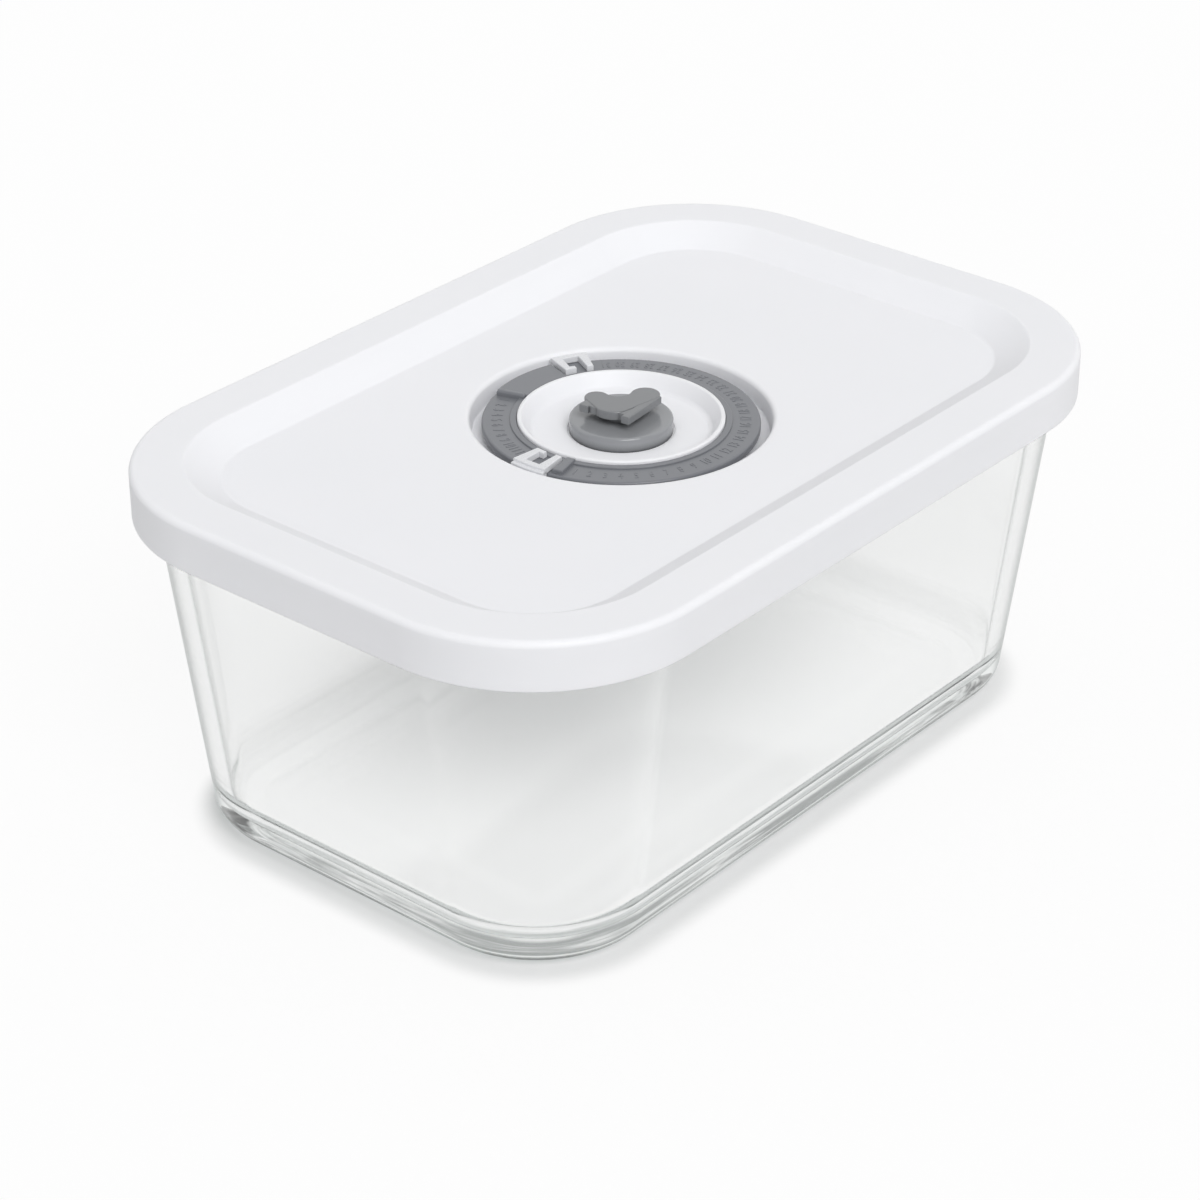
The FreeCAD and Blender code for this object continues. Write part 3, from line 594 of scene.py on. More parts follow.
class Mould:
    """One piece's mesh while operators shape it."""

    def __init__(self) -> None:
        """Starts with an empty mesh."""
        self.bm = bmesh.new()

    def join(self, part: BMesh) -> None:
        """Adds another mesh and frees it."""
        mesh = bpy.data.meshes.new("part")
        part.to_mesh(mesh)
        part.free()
        self.bm.from_mesh(mesh)
        bpy.data.meshes.remove(mesh)

    def carry_round(self, section: Section, plan: RoundedPlan) -> None:
        """Carries a section once round a plan: an arc and a straight run at each corner in turn.

        Args:
            section: The wall's section, measured inwards from the plan's outline.
            plan: The outline.
        """
        bm = section.draw(plan.place)
        front: list = bm.verts[:] + bm.edges[:]
        stops = [plan.centre(x, y) for x, y in ((1, 1), (-1, 1), (-1, -1), (1, -1))]
        for here, after in zip(stops, stops[1:] + stops[:1]):
            front = bmesh.ops.spin(
                bm, geom=front, cent=here, axis=UP, angle=QUARTER_TURN, steps=plan.corner_steps,
                use_merge=False, use_normal_flip=False, use_duplicate=False,
            )["geom_last"]
            grown = bmesh.ops.extrude_edge_only(bm, edges=only(front, BMEdge))["geom"]
            front = only(grown, BMVert, BMEdge)
            bmesh.ops.translate(bm, verts=only(front, BMVert), vec=after - here)
        self.join(bm)
        self.merge()

    def turn(self, section: Section, steps: int = 144) -> None:
        """Turns a section, measured out from the vertical axis, once about it."""
        bm = section.draw(lambda corner: Vector((corner.across * MM, 0.0, corner.height * MM)))
        bmesh.ops.spin(
            bm, geom=bm.verts[:] + bm.edges[:], cent=(0.0, 0.0, 0.0), axis=UP, angle=FULL_TURN, steps=steps,
            use_merge=True, use_normal_flip=False, use_duplicate=False,
        )
        self.join(bm)
        self.merge()

    def bore(self, x: float, y: float, radius: float, top: float, bottom: float, steps: int = 28) -> None:
        """Adds the wall of a round hole.

        Args:
            x: The hole's place along the box.
            y: The hole's place across the box.
            radius: Its radius.
            top: The height of its mouth.
            bottom: The height of its lower end.
            steps: The sides of the circle.
        """
        bm = bmesh.new()
        bmesh.ops.create_circle(
            bm, cap_ends=False, segments=steps, radius=radius * MM,
            matrix=Matrix.Translation((x * MM, y * MM, top * MM)),
        )
        grown = bmesh.ops.extrude_edge_only(bm, edges=bm.edges[:])["geom"]
        bmesh.ops.translate(bm, verts=only(grown, BMVert), vec=(0.0, 0.0, (bottom - top) * MM))
        self.join(bm)

    def plate(self, outline: Outline, bottom: float, top: float, edge_round: float, steps: int = 5) -> None:
        """Adds a closed plate with its top edge rounded.

        Args:
            outline: The plate from above.
            bottom: The height of its underside.
            top: The height of its top.
            edge_round: The round on the top edge.
            steps: The steps of the round.
        """
        bm = bmesh.new()
        points = [bm.verts.new((x * MM, y * MM, bottom * MM)) for x, y in outline]
        border = [bm.edges.new(pair) for pair in zip(points, points[1:] + points[:1])]
        underside = bmesh.ops.edgeloop_fill(bm, edges=border)["faces"]
        raised = only(bmesh.ops.extrude_face_region(bm, geom=underside)["geom"], BMVert)
        bmesh.ops.translate(bm, verts=raised, vec=(0.0, 0.0, (top - bottom) * MM))
        upper = set(raised)
        bmesh.ops.bevel(
            bm, geom=[edge for edge in bm.edges if upper.issuperset(edge.verts)], offset=edge_round * MM,
            offset_type="OFFSET", affect="EDGES", segments=steps, profile=0.5, material=-1,
        )
        self.join(bm)

    def merge(self) -> None:
        """Closes the seams."""
        bmesh.ops.remove_doubles(self.bm, verts=self.bm.verts[:], dist=SEAM_GAP)

    def open_edges(self, height: float) -> list[BMEdge]:
        """Finds the open edges at one height."""
        return [
            edge for edge in self.bm.edges
            if edge.is_boundary and all(abs(v.co.z - height * MM) < LEVEL_GAP for v in edge.verts)
        ]

    def cap(self, height: float) -> None:
        """Closes a single open loop with one flat face."""
        bmesh.ops.edgeloop_fill(self.bm, edges=self.open_edges(height))

    def floor(self, height: float) -> None:
        """Fills the flat between an outer open loop and the loops of the holes inside it."""
        bmesh.ops.triangle_fill(
            self.bm, use_beauty=True, use_dissolve=False, edges=self.open_edges(height), normal=UP
        )

    def cast(self, name: str, sharp_deg: float = 34.0) -> Object:
        """Makes the piece: closed, facing outwards, smooth except at its sharp edges.

        Args:
            name: The piece's name.
            sharp_deg: The angle from which an edge stays sharp.

        Returns:
            The object, at the origin.
        """
        self.merge()
        bmesh.ops.recalc_face_normals(self.bm, faces=self.bm.faces[:])
        for face in self.bm.faces:
            face.smooth = True
        for edge in self.bm.edges:
            edge.smooth = edge.calc_face_angle(0.0) < math.radians(sharp_deg)
        loose = sum(not edge.is_manifold for edge in self.bm.edges)
        if loose:
            log.warning("%s: %d edges are open", name, loose)
        mesh = bpy.data.meshes.new(name)
        self.bm.to_mesh(mesh)
        self.bm.free()
        piece = put(name, mesh)
        even = piece.modifiers.new("even_normals", "WEIGHTED_NORMAL")
        even.keep_sharp = True
        even.weight = NORMAL_WEIGHT
        return piece


def dress(piece: Object, finish: Finish, body: Body, nodes: Iterable[str] = ()) -> None:
    """Gives a new piece its finish and its place in the frame, and reports it.

    Args:
        piece: The piece.
        finish: Its finish.
        body: The CAD body that it rides on.
        nodes: The CAD nodes that it stands for.
    """
    piece.data.materials.append(finish.material())
    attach(piece, body.value)
    for node in nodes:
        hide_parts(node)
    log.info("%s: %d faces, %s, rides on %s", piece.name, len(piece.data.polygons), finish.name, body.value)


# ---- the glass box


@dataclass
class GlassVessel:
    """The pressed glass box: tapered walls, a thick rounded base on a foot ring, a fire-polished brim."""

    plan: RoundedPlan = RoundedPlan(106.6, 70.6, 39.2, corner_steps=48)
    height: float = GLASS_HEIGHT
    wall: float = 4.2
    floor: float = 6.0
    taper: float = GLASS_TAPER
    base_round: float = 7.6
    floor_round: float = 8.5
    rim_round: float = 1.3
    foot_inset: float = 23.0
    foot_rise: float = 0.8
    foot_slope: float = 11.0
    foot_round: float = 40.0
    floor_loop: float = 26.0

    def section(self) -> Section:
        """Draws the wall from the middle of the underside, over the brim, to the middle of the floor."""
        slope = self.taper / self.height
        floor_inset = self.wall + slope * (self.height - self.floor)
        return Section((
            Corner(self.foot_inset + self.foot_slope, self.foot_rise),
            Corner(self.foot_inset, 0.0, self.foot_round, 8),
            Corner(self.taper, 0.0, self.base_round, 20),
            Corner(0.0, self.height, self.rim_round, 10),
            Corner(self.wall, self.height, self.rim_round, 10),
            Corner(floor_inset, self.floor, self.floor_round, 20),
            Corner(self.floor_loop, self.floor),
        ))

    def build(self) -> None:
        """Builds and dresses the box."""
        mould = Mould()
        mould.carry_round(self.section(), self.plan)
        mould.cap(self.foot_rise)
        mould.cap(self.floor)
        dress(mould.cast("glass_vessel"), PressedGlass(), Body.BOX, ["glass_box"])


# ---- the lid


@dataclass
class LidMoulding:
    """The white lid: skirt, flat rim, sloping dish, panel, and the round well with the valve's cup."""

    plan: RoundedPlan = RoundedPlan(111.0, 75.0, 43.0, corner_steps=48)
    top: float = 93.0
    skirt_bottom: float = 81.0
    skirt_round: float = 0.5
    wall: float = 2.2
    edge_round: float = 1.6
    rim_width: float = 12.3
    recess_slope: float = 8.2
    recess_depth: float = 4.9
    recess_round: float = 1.0
    panel_round: float = 1.5
    under_round: float = 0.25
    under_panel_round: float = 1.0
    rib_outer: float = 9.9
    rib_inner: float = 11.7
    rib_bottom: float = 83.3
    rib_round: float = 0.4
    panel_loop: float = 25.0
    well_radius: float = 35.2
    well_lean: float = 0.5
    well_edge: float = 1.3
    boss_radius: float = 37.6
    boss_bottom: float = 81.4
    boss_round: float = 0.6
    boss_loop: float = 36.0
    track_floor: float = 83.2
    track_round: float = 0.4
    seat_radius: float = 29.4
    seat_top: float = 84.6
    seat_round: float = 0.2
    cup_radius: float = 24.5
    cup_rim: float = 87.85
    cup_rim_round: float = 0.45
    cup_lip: float = 1.0
    cup_floor: float = 84.1
    cup_floor_radius: float = 21.2
    cup_floor_round: float = 1.5
    disc_seat: float = 83.8
    disc_seat_radius: float = 12.7
    disc_seat_round: float = 0.1
    guide_radius: float = 2.7
    air_holes: int = 6
    air_hole_radius: float = 1.0
    air_circle: float = 7.5

    @property
    def panel(self) -> float:
        """The height of the panel's top."""
        return self.top - self.recess_depth

    def shell(self) -> Section:
        """Draws the lid's wall from the panel's top, over the rim and round the skirt, to its underside."""
        under = self.top - self.wall
        dish = self.rim_width + self.recess_slope
        inner = self.wall * math.tan(math.atan2(self.recess_depth, self.recess_slope) / 2)
        return Section((
            Corner(self.panel_loop, self.panel),
            Corner(dish, self.panel, self.panel_round, 10),
            Corner(self.rim_width, self.top, self.recess_round, 10),
            Corner(0.0, self.top, self.edge_round, 12),
            Corner(0.0, self.skirt_bottom, self.skirt_round, 5),
            Corner(self.wall, self.skirt_bottom, self.skirt_round, 5),
            Corner(self.wall, under, self.under_round, 3),
            Corner(self.rib_outer, under, self.under_round, 3),
            Corner(self.rib_outer, self.rib_bottom, self.rib_round, 4),
            Corner(self.rib_inner, self.rib_bottom, self.rib_round, 4),
            Corner(self.rib_inner, under),
            Corner(self.rim_width - inner, under),
            Corner(dish - inner, self.panel - self.wall, self.under_panel_round, 5),
            Corner(self.panel_loop, self.panel - self.wall),
        ))

    def well(self) -> Section:
        """Draws the well from the panel down to the track, over the cup's lip, to the disc's seat."""
        mouth = self.well_radius + self.well_lean
        return Section((
            Corner(mouth + 2 * self.well_edge, self.panel),
            Corner(mouth, self.panel, self.well_edge, 8),
            Corner(self.well_radius, self.track_floor, self.track_round, 4),
            Corner(self.seat_radius, self.track_floor),
            Corner(self.seat_radius, self.seat_top, self.seat_round, 3),
            Corner(self.cup_radius, self.seat_top),
            Corner(self.cup_radius, self.cup_rim, self.cup_rim_round, 6),
            Corner(self.cup_radius - self.cup_lip, self.cup_rim, self.cup_rim_round, 6),
            Corner(self.cup_floor_radius, self.cup_floor, self.cup_floor_round, 8),
            Corner(self.disc_seat_radius, self.cup_floor, self.disc_seat_round, 2),
            Corner(self.disc_seat_radius, self.disc_seat),
        ))

    def boss(self) -> Section:
        """Draws the outside of the well under the panel."""
        return Section((
            Corner(self.boss_radius, self.panel - self.wall),
            Corner(self.boss_radius, self.boss_bottom, self.boss_round, 5),
            Corner(self.boss_loop, self.boss_bottom),
        ))

    def build(self) -> None:
        """Builds and dresses the lid."""
        mould = Mould()
        mould.carry_round(self.shell(), self.plan)
        mould.turn(self.well())
        mould.turn(self.boss())
        mould.bore(*MIDDLE, self.guide_radius, self.disc_seat, self.boss_bottom, steps=48)
        for step in range(self.air_holes):
            angle = FULL_TURN * step / self.air_holes
            mould.bore(
                self.air_circle * math.cos(angle), self.air_circle * math.sin(angle), self.air_hole_radius,
                self.disc_seat, self.boss_bottom,
            )
        for height in (self.panel, self.panel - self.wall, self.disc_seat, self.boss_bottom):
            mould.floor(height)
        dress(mould.cast("lid_moulding"), LID_POLYPROPYLENE, Body.LID, ["lid_shell"])


@dataclass
class LidGasket:
    """The silicone gasket under the rim: a flat band with a lip that hangs outside the glass brim."""

    plan: RoundedPlan = RoundedPlan(111.0, 75.0, 43.0, corner_steps=40)
    outer: float = 2.5
    inner: float = 9.6
    top: float = 90.8
    bottom: float = GLASS_HEIGHT
    lip: float = 1.0
    lip_bottom: float = 85.7
    edge_round: float = 0.4

    def build(self) -> None:
        """Builds and dresses the gasket."""
        mould = Mould()
        mould.carry_round(Section((
            Corner(self.outer, self.top),
            Corner(self.inner, self.top, self.edge_round, 4),
            Corner(self.inner, self.bottom, self.edge_round, 4),
            Corner(self.outer + self.lip, self.bottom),
            Corner(self.outer + self.lip, self.lip_bottom, self.edge_round, 4),
            Corner(self.outer, self.lip_bottom, self.edge_round, 4),
        ), closed=True), self.plan)
        dress(mould.cast("gasket_band"), GASKET_SILICONE, Body.LID, ["lid_gasket"])


# ---- the date dial


@dataclass
class DateMarker:
    """A white forked marker: a plate over the scale, a leg by the ring's edge and a lip under it."""

    name: str
    node: str
    body: Body
    angle_deg: float
    hook_side: int
    tip: float = 26.5
    outer: float = 34.9
    plate_outer: float = 34.1
    leg: float = 33.1
    lip: float = 30.8
    lip_overlap: float = 0.3
    spread_deg: float = 15.5
    bottom: float = 86.85
    top: float = 88.4
    leg_top: float = 87.7
    leg_round: float = 0.4
    lip_top: float = 84.6
    lip_bottom: float = 83.8
    lip_round: float = 0.1
    back: float = 2.5
    slot_half: float = 2.0
    hook: float = 1.3
    hook_width: float = 1.2
    edge_round: float = 0.28

    def fork(self) -> Outline:
        """Draws the plate with its slot, whose one side ends in a hook."""
        half = self.spread_deg / 2
        catch = self.slot_half - self.hook
        hooked = math.degrees(math.asin(catch / self.tip))
        plain = math.degrees(math.asin(self.slot_half / self.tip))
        deep = self.outer - self.back
        hook_end = self.tip + self.hook_width
        points = arc(MIDDLE, self.plate_outer, -half, half, steps=12)
        points += arc(MIDDLE, self.tip, half, hooked, steps=5)
        points += [(hook_end, catch), (hook_end, self.slot_half)]
        points += [(deep, self.slot_half), (deep, -self.slot_half)]
        points += arc(MIDDLE, self.tip, -plain, -half, steps=4)
        return points if self.hook_side > 0 else [(x, -y) for x, y in reversed(points)]

    def build(self) -> None:
        """Builds and dresses the marker."""
        half = self.spread_deg / 2
        sides = self.angle_deg - half, self.angle_deg + half
        lip = sector(self.lip, self.leg + self.lip_overlap, *sides)
        mould = Mould()
        mould.plate(turned(self.fork(), self.angle_deg), self.bottom, self.top, self.edge_round)
        mould.plate(sector(self.leg, self.outer, *sides), self.lip_bottom, self.leg_top, self.leg_round)
        mould.plate(lip, self.lip_bottom, self.lip_top, self.lip_round, steps=2)
        dress(mould.cast(self.name), MARKER_ABS, self.body, [self.node])


@dataclass
class DateDial:
    """The grey ring with its raised blank, bars and numbers, and the two white markers that slide on it."""

    bore: float = 24.6
    band: float = 26.2
    radius: float = 32.8
    seat_radius: float = 29.3
    seat: float = 84.6
    undercut: float = 84.9
    undercut_round: float = 0.15
    scale_top: float = 86.7
    band_top: float = 87.1
    band_round: float = 0.2
    edge_round: float = 0.55
    plate_sunk: float = 0.2
    blank_deg: Pair = (71.0, 104.6)
    blank_top: float = 87.6
    blank_margin: float = 0.3
    blank_round: float = 0.3
    end_bar_deg: Pair = (104.2, 107.4)
    end_bar_top: float = 88.1
    end_bar_round: float = 0.55
    stop_bar_deg: Pair = (190.0, 194.8)
    stop_bar_top: float = 87.8
    stop_bar_round: float = 0.35
    bar_margin: float = 0.4
    number_radius: float = 29.4
    number_height: float = 2.7
    number_rise: float = 0.11
    number_sunk: float = 0.05
    number_edge: float = 0.05
    number_steps: int = 3
    digit_share: float = 0.7
    digit_gap: float = 1.05
    narrowing: float = 0.62
    months_start: float = 110.5
    months_step: float = 5.25
    days_start: float = 198.6
    days_step: float = 6.95

    def ring(self) -> Object:
        """Builds the ring.

        Returns:
            The piece.
        """
        mould = Mould()
        mould.turn(Section((
            Corner(self.bore, self.seat),
            Corner(self.seat_radius, self.seat),
            Corner(self.seat_radius, self.undercut),
            Corner(self.radius, self.undercut, self.undercut_round, 2),
            Corner(self.radius, self.scale_top, self.edge_round, 6),
            Corner(self.band, self.scale_top),
            Corner(self.band, self.band_top, self.band_round, 4),
            Corner(self.bore, self.band_top, self.band_round, 4),
        ), closed=True), steps=180)
        inner, outer = self.bore + self.bar_margin, self.radius - self.edge_round - self.bar_margin / 2
        blank = sector(self.bore, self.radius - self.blank_margin, *self.blank_deg)
        for outline, top, edge_round in (
            (blank, self.blank_top, self.blank_round),
            (sector(inner, outer, *self.end_bar_deg), self.end_bar_top, self.end_bar_round),
            (sector(inner, outer, *self.stop_bar_deg), self.stop_bar_top, self.stop_bar_round),
        ):
            mould.plate(outline, self.scale_top - self.plate_sunk, top, edge_round)
        return mould.cast("dial_ring")

    def spots(self) -> Iterable[tuple[str, float]]:
        """Gives each number and its angle on the ring, from +X."""
        for scale, start, step in (
            (Scale.MONTHS, self.months_start, self.months_step),
            (Scale.DAYS, self.days_start, self.days_step),
        ):
            for count in range(scale.value):
                yield str(count + 1), start + step * count

    def number_mesh(self, words: str, angle_deg: float) -> Mesh:
        """Makes one raised number, its feet outwards, at its place on the ring.

        Args:
            words: The number's digits.
            angle_deg: Its angle on the ring.

        Returns:
            The mesh, in the frame.
        """
        text = bpy.data.curves.new("number", "FONT")
        text.body = words
        text.size = self.number_height * MM / self.digit_share
        text.align_x, text.align_y = "CENTER", "CENTER"
        text.resolution_u = self.number_steps
        text.extrude = ((self.number_rise + self.number_sunk) / 2 - self.number_edge) * MM
        text.bevel_depth = self.number_edge * MM
        text.offset = -self.number_edge * MM
        text.space_character = self.digit_gap
        holder = put("number", text)
        bpy.context.view_layer.update()
        mesh = bpy.data.meshes.new_from_object(holder.evaluated_get(bpy.context.evaluated_depsgraph_get()))
        bpy.data.objects.remove(holder)
        bpy.data.curves.remove(text)
        angle = math.radians(angle_deg)
        out = self.number_radius * MM
        level = (self.scale_top + (self.number_rise - self.number_sunk) / 2) * MM
        mesh.transform(
            Matrix.Translation((out * math.cos(angle), out * math.sin(angle), level))
            @ Matrix.Rotation(angle + QUARTER_TURN, 4, "Z")
            @ Matrix.Diagonal((self.narrowing, 1.0, 1.0, 1.0))
        )
        return mesh

    def numbers(self) -> Object:
        """Builds all raised numbers as one piece."""
        mould = Mould()
        for words, angle in self.spots():
            mesh = self.number_mesh(words, angle)
            mould.bm.from_mesh(mesh)
            bpy.data.meshes.remove(mesh)
        return mould.cast("dial_numbers")

    def build(self) -> None:
        """Builds and dresses the ring, its numbers and the markers."""
        dress(self.ring(), DIAL_ABS, Body.LID, ["date_ring"])
        dress(self.numbers(), DIAL_ABS, Body.LID)
        DateMarker("day_pointer", "day_marker", Body.DAY_SLIDER, angle_deg=62.0, hook_side=1).build()
        DateMarker("month_pointer", "month_marker", Body.MONTH_SLIDER, angle_deg=181.0, hook_side=-1).build()


# ---- the pull valve


@dataclass(frozen=True)
class Lobe:
    """A round lobe of the tab."""

    x: float
    y: float
    radius: float

    def touch(self, other: "Lobe") -> float:
        """Gives the direction in which the right-hand flank to another lobe touches both."""
        span = math.hypot(other.x - self.x, other.y - self.y)
        lean = math.asin((other.radius - self.radius) / span)
        return math.degrees(math.atan2(other.y - self.y, other.x - self.x) - QUARTER_TURN - lean)

    def hollow(self, other: "Lobe", radius: float) -> Pair:
        """Gives the centre of the hollow that touches two lobes, on the left of the way to the other."""
        span = math.hypot(other.x - self.x, other.y - self.y)
        along = (span ** 2 + (self.radius + radius) ** 2 - (other.radius + radius) ** 2) / (2 * span)
        aside = math.sqrt((self.radius + radius) ** 2 - along ** 2)
        cosine, sine = (other.x - self.x) / span, (other.y - self.y) / span
        return self.x + along * cosine - aside * sine, self.y + along * sine + aside * cosine

    def facing(self, spot: Pair) -> float:
        """Gives the direction of a point seen from the lobe's centre."""
        return math.degrees(math.atan2(spot[1] - self.y, spot[0] - self.x))

    def arc(self, start_deg: float, end_deg: float) -> Outline:
        """Draws the lobe's own arc, anticlockwise."""
        end_deg = start_deg + (end_deg - start_deg) % 360
        return arc((self.x, self.y), self.radius, start_deg, end_deg, steps=20)


@dataclass
class PullValve:
    """The grey rubber valve: a round disc in the cup and a three-lobed lift tab on its stem.

    A box holds its left, right, front and rear sides.
    """

    stem_hole: float = 2.45
    stem_hole_round: float = 0.2
    disc_radius: float = 12.3
    disc_top: float = 87.4
    disc_round: float = 0.75
    seat: float = 83.8
    hollow_radius: float = 10.5
    hollow_top: float = 84.2
    rear: Lobe = Lobe(-1.6, 5.9, 2.9)
    left: Lobe = Lobe(-2.6, 0.4, 4.5)
    right: Lobe = Lobe(6.1, -2.7, 3.5)
    notch_radius: float = 3.2
    tab_turn_deg: float = 5.5
    tab_bottom: float = 89.5
    tab_top: float = 91.5
    tab_round: float = 0.35
    bar_box: Sides = (-6.6, 7.2, -6.5, -4.4)
    bar_top: float = 91.4
    bar_web_box: Sides = (-5.5, 0.5, -5.4, -2.2)
    nub_box: Sides = (-7.0, -3.7, 4.7, 7.1)
    nub_top: float = 91.35
    nub_web_box: Sides = (-6.45, -4.0, 2.8, 5.5)
    web_top: float = 91.3
    box_round: float = 0.28
    collar: float = 4.0
    collar_overlap: float = 0.2
    shank: float = 2.4
    barb: float = 3.4
    barb_tip: float = 1.8
    barb_round: float = 0.3
    barb_heights: Pair = (77.2, 79.2)

    def disc(self) -> Section:
        """Draws the disc round its stem hole."""
        return Section((
            Corner(self.stem_hole, self.hollow_top),
            Corner(self.hollow_radius, self.hollow_top),
            Corner(self.hollow_radius, self.seat),
            Corner(self.disc_radius, self.seat),
            Corner(self.disc_radius, self.disc_top, self.disc_round, 10),
            Corner(self.stem_hole, self.disc_top, self.stem_hole_round, 3),
        ), closed=True)

    def stem(self) -> Section:
        """Draws the stem from its barb's tip to the tab, out from the axis and back to it."""
        tip, shoulder = self.barb_heights
        top = self.tab_bottom + self.collar_overlap
        return Section((
            Corner(0.0, tip),
            Corner(self.barb_tip, tip, self.barb_round, 3),
            Corner(self.barb, shoulder),
            Corner(self.shank, shoulder),
            Corner(self.shank, self.disc_top),
            Corner(self.collar, self.disc_top),
            Corner(self.collar, top),
            Corner(0.0, top),
        ))

    def lobed(self) -> Outline:
        """Draws the tab's plate: three round lobes, two straight flanks and a hollow between two lobes."""
        hollow = self.rear.hollow(self.right, self.notch_radius)
        flank = self.rear.touch(self.left)
        front = self.left.touch(self.right)
        pit = Lobe(*hollow, self.notch_radius)
        from_right = pit.facing((self.right.x, self.right.y))
        to_rear = pit.facing((self.rear.x, self.rear.y))
        bend = (to_rear - from_right + 180) % 360 - 180
        points = self.rear.arc(self.rear.facing(hollow), flank) + self.left.arc(flank, front)
        points += self.right.arc(front, self.right.facing(hollow))
        notch = arc(hollow, self.notch_radius, from_right, from_right + bend, steps=10)
        return points + notch[1:-1]

    @staticmethod
    def box(sides: Sides) -> Outline:
        """Draws a rectangle from its sides."""
        left, right, front, rear = sides
        return [(left, front), (right, front), (right, rear), (left, rear)]

    def build(self) -> None:
        """Builds and dresses the disc and the tab."""
        mould = Mould()
        mould.turn(self.disc(), steps=112)
        dress(mould.cast("valve_disc"), DISC_SILICONE, Body.VALVE, ["valve_seal"])
        mould = Mould()
        mould.turn(self.stem(), steps=64)
        for outline, top, edge_round in (
            (self.lobed(), self.tab_top, self.tab_round),
            (self.box(self.bar_box), self.bar_top, self.box_round),
            (self.box(self.bar_web_box), self.web_top, self.box_round),
            (self.box(self.nub_box), self.nub_top, self.box_round),
            (self.box(self.nub_web_box), self.web_top, self.box_round),
        ):
            mould.plate(turned(outline, self.tab_turn_deg), self.tab_bottom, top, edge_round, steps=6)
        dress(mould.cast("lift_tab"), TAB_SILICONE, Body.VALVE, ["valve_tab"])


# ---- the studio


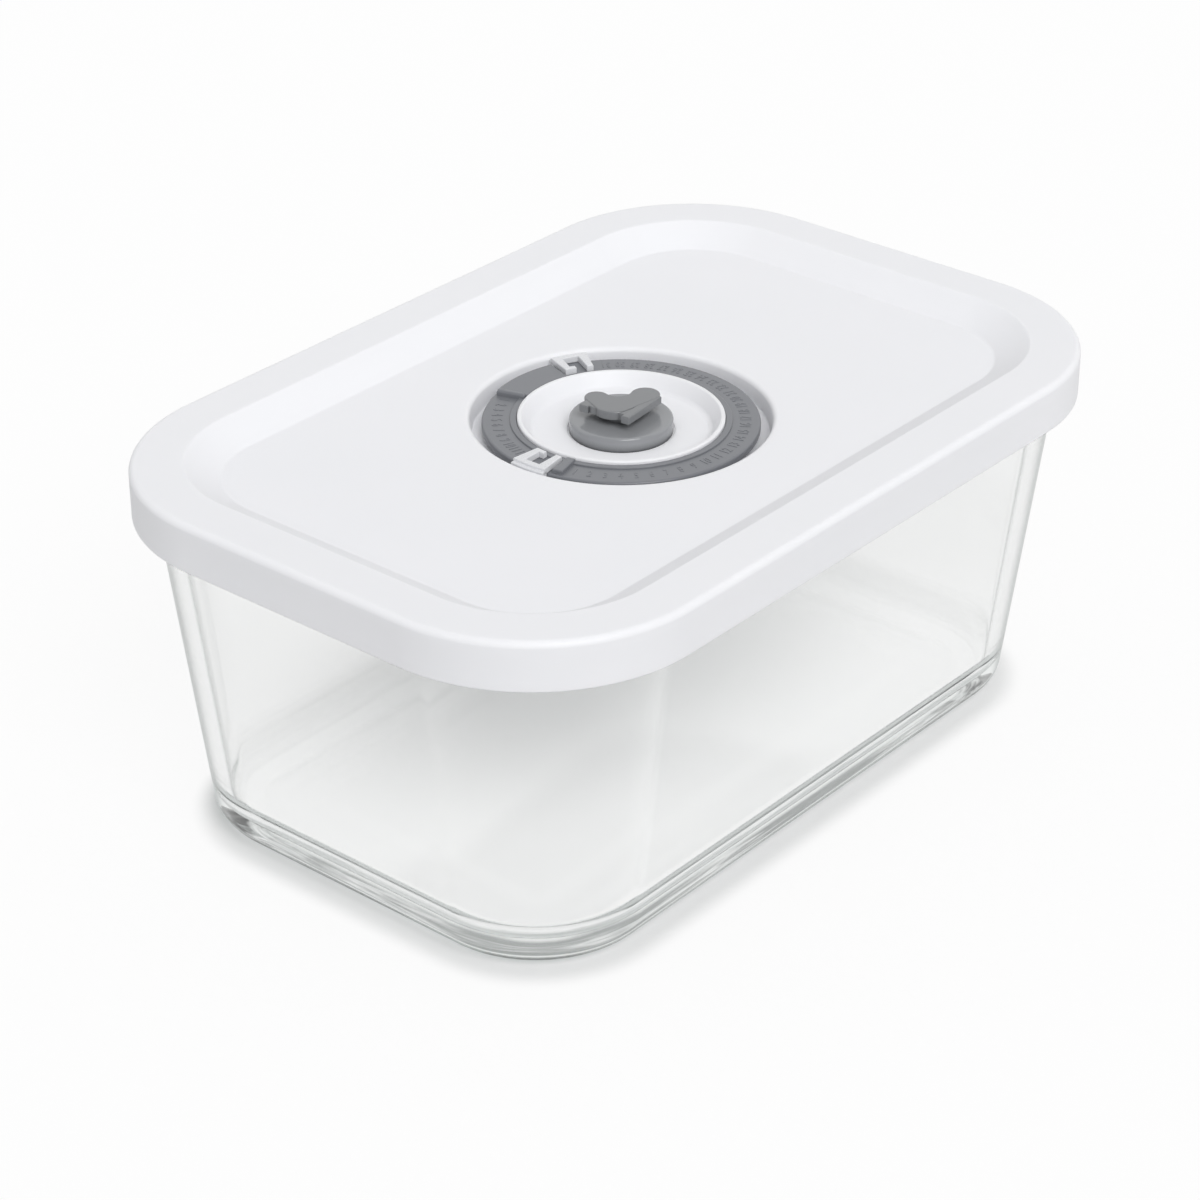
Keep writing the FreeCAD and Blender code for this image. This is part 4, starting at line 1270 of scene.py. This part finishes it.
@dataclass
class Studio:
    """The white sweep, the soft light and the camera."""

    azimuth_deg: float = -50.05
    elevation_deg: float = 29.49
    camera_mm: tuple[float, float, float] = (-546.22, -451.02, 438.33)
    lens_mm: float = 100.908
    sensor_mm: float = 36.0
    clip_mm: Pair = (10.0, 50000.0)
    floor_half_mm: float = 4000.0
    floor_rise_mm: float = 0.03
    sweep_white: str = "#fefefe"
    sweep_bounce: str = "#d2d2d2"
    sweep_glow: Pair = (0.1, 0.9)
    base_core_mm: Pair = GLASS_CORE
    base_corner_mm: float = 28.8
    shadow_mm: float = 7.0
    # The painted pool of light on the paper seen through the box: its glow, reach, size and centre.
    pool_glow: Pair = (0.25, 0.95)
    pool_reach: Pair = (0.25, 1.05)
    pool_half_mm: Pair = (107.0, 71.0)
    pool_centre_mm: Pair = (24.0, 31.0)
    room_behind: float = 0.3
    room_reach: Pair = (0.1, 0.6)
    ambient: float = 0.62
    light_to: tuple[float, float, float] = (-0.17, -0.31, 0.34)
    light_width_deg: float = 36.0

    def floor(self) -> None:
        """Lays the white sweep, a matte paper."""
        bm = bmesh.new()
        bmesh.ops.create_grid(bm, x_segments=1, y_segments=1, size=self.floor_half_mm * MM)
        bmesh.ops.translate(bm, verts=bm.verts[:], vec=(0.0, 0.0, self.floor_rise_mm * MM))
        mesh = bpy.data.meshes.new("white_sweep")
        bm.to_mesh(mesh)
        bm.free()
        sweep = put("white_sweep", mesh)
        mesh.materials.append(self.paper())

    def seen(self, tree: Tree) -> Socket:
        """Gives 1 for the rays that make the picture: camera, glossy and transmission rays."""
        path = add_node(tree, "LightPath")
        direct = calc(tree, "MAXIMUM", path.outputs["Is Camera Ray"], path.outputs["Is Glossy Ray"])
        return calc(tree, "MAXIMUM", direct, path.outputs["Is Transmission Ray"])

    def pool(self, tree: Tree, place: Socket) -> Socket:
        """Makes the painted glow of the paper seen through the box: a painted pool of light, dimmest where
        the lid's shadow falls, so the rendered shadow shows most there.
        """
        centred = vector(tree, "SUBTRACT", place, (*metres(self.pool_centre_mm), 0.0))
        scale = (*(per_metre(half) for half in self.pool_half_mm), 0.0)
        across = add_node(tree, "Mapping", {"Vector": centred, "Scale": scale})
        out = vector(tree, "LENGTH", across.outputs[0])
        return ramp(tree, out, *self.pool_reach, *self.pool_glow)

    def paper(self) -> Material:
        """Makes the sweep's matte paper, white to the eye, with the object's soft shadow left on it.

        From below it is clear, so that the underside can be looked at. Beside the glass base its self-lit
        white is weaker, so the rendered shadow shows there; under the box its glow is a painted pool of
        light.

        Returns:
            The material.
        """
        material, tree = blank_material("white_paper_sweep")
        place = add_node(tree, "TexCoord").outputs["Object"]
        seen = self.seen(tree)
        tone = blend(tree, seen, self.sweep_bounce, self.sweep_white)
        matte = add_node(tree, "BsdfDiffuse", {"Color": tone})
        white = add_node(tree, "Emission", {"Color": linear(self.sweep_white), "Strength": 1.0})
        edge = self.base_corner_mm * MM
        out = reach(tree, place, self.base_core_mm)
        beside = ramp(tree, out, edge, edge + self.shadow_mm * MM, *self.sweep_glow)
        through = add_node(tree, "LightPath").outputs["Is Transmission Ray"]
        glow = calc(tree, "MULTIPLY", seen, spread(tree, through, beside, self.pool(tree, place)))
        mixed = add_node(tree, "MixShader", {0: glow, 1: matte.outputs[0], 2: white.outputs[0]})
        below = add_node(
            tree, "MixShader",
            {0: add_node(tree, "NewGeometry").outputs["Backfacing"], 1: mixed.outputs[0],
             2: add_node(tree, "BsdfTransparent").outputs[0]},
        )
        add_node(tree, "OutputMaterial", {"Surface": below.outputs[0]})
        return material

    def light(self) -> None:
        """Sets a white surround, darker in the room behind the camera, and one large soft lamp in front."""
        world = bpy.data.worlds.new("white_surround")
        bpy.context.scene.world = world
        world.use_nodes = True
        tree = world.node_tree
        tree.nodes.clear()
        around = add_node(tree, "TexCoord").outputs["Generated"]
        towards = vector(tree, "DOT_PRODUCT", around, self.back())
        room = ramp(tree, towards, *self.room_reach, 1.0, self.room_behind)
        level = spread(tree, self.seen(tree), self.ambient, room)
        surround = add_node(tree, "Background", {"Color": (1.0, 1.0, 1.0, 1.0), "Strength": level})
        add_node(tree, "OutputWorld", {"Surface": surround.outputs[0]})
        to_light = Vector(self.light_to)
        lamp = bpy.data.lights.new("soft_overhead", "SUN")
        lamp.energy = to_light.length * math.pi
        lamp.angle = math.radians(self.light_width_deg)
        put("soft_overhead", lamp).rotation_euler = (-to_light).to_track_quat("-Z", "Y").to_euler()

    def back(self) -> Vector:
        """Gives the direction from the box to the camera."""
        azimuth, elevation = math.radians(self.azimuth_deg), math.radians(self.elevation_deg)
        level = math.cos(elevation)
        return Vector((math.sin(azimuth) * level, -math.cos(azimuth) * level, math.sin(elevation)))

    def camera(self) -> None:
        """Sets the camera at the photograph's viewing angle."""
        lens = bpy.data.cameras.new("studio_camera")
        lens.sensor_width = self.sensor_mm
        lens.lens = self.lens_mm
        lens.clip_start, lens.clip_end = metres(self.clip_mm)
        holder = put("studio_camera", lens)
        holder.location = Vector(self.camera_mm) * MM
        holder.rotation_euler = (-self.back()).to_track_quat("-Z", "Y").to_euler()
        bpy.context.scene.camera = holder

    def build(self) -> None:
        """Sets up the studio."""
        bpy.context.scene.view_settings.view_transform = "Standard"
        self.floor()
        self.light()
        self.camera()


def main() -> None:
    """Builds the canister's sub-assemblies in order, then the studio round them."""
    logging.basicConfig(level=logging.INFO, format="%(name)s: %(message)s")
    for assembly in (GlassVessel(), LidMoulding(), LidGasket(), DateDial(), PullValve(), Studio()):
        assembly.build()


if __name__ == "__main__":
    main()
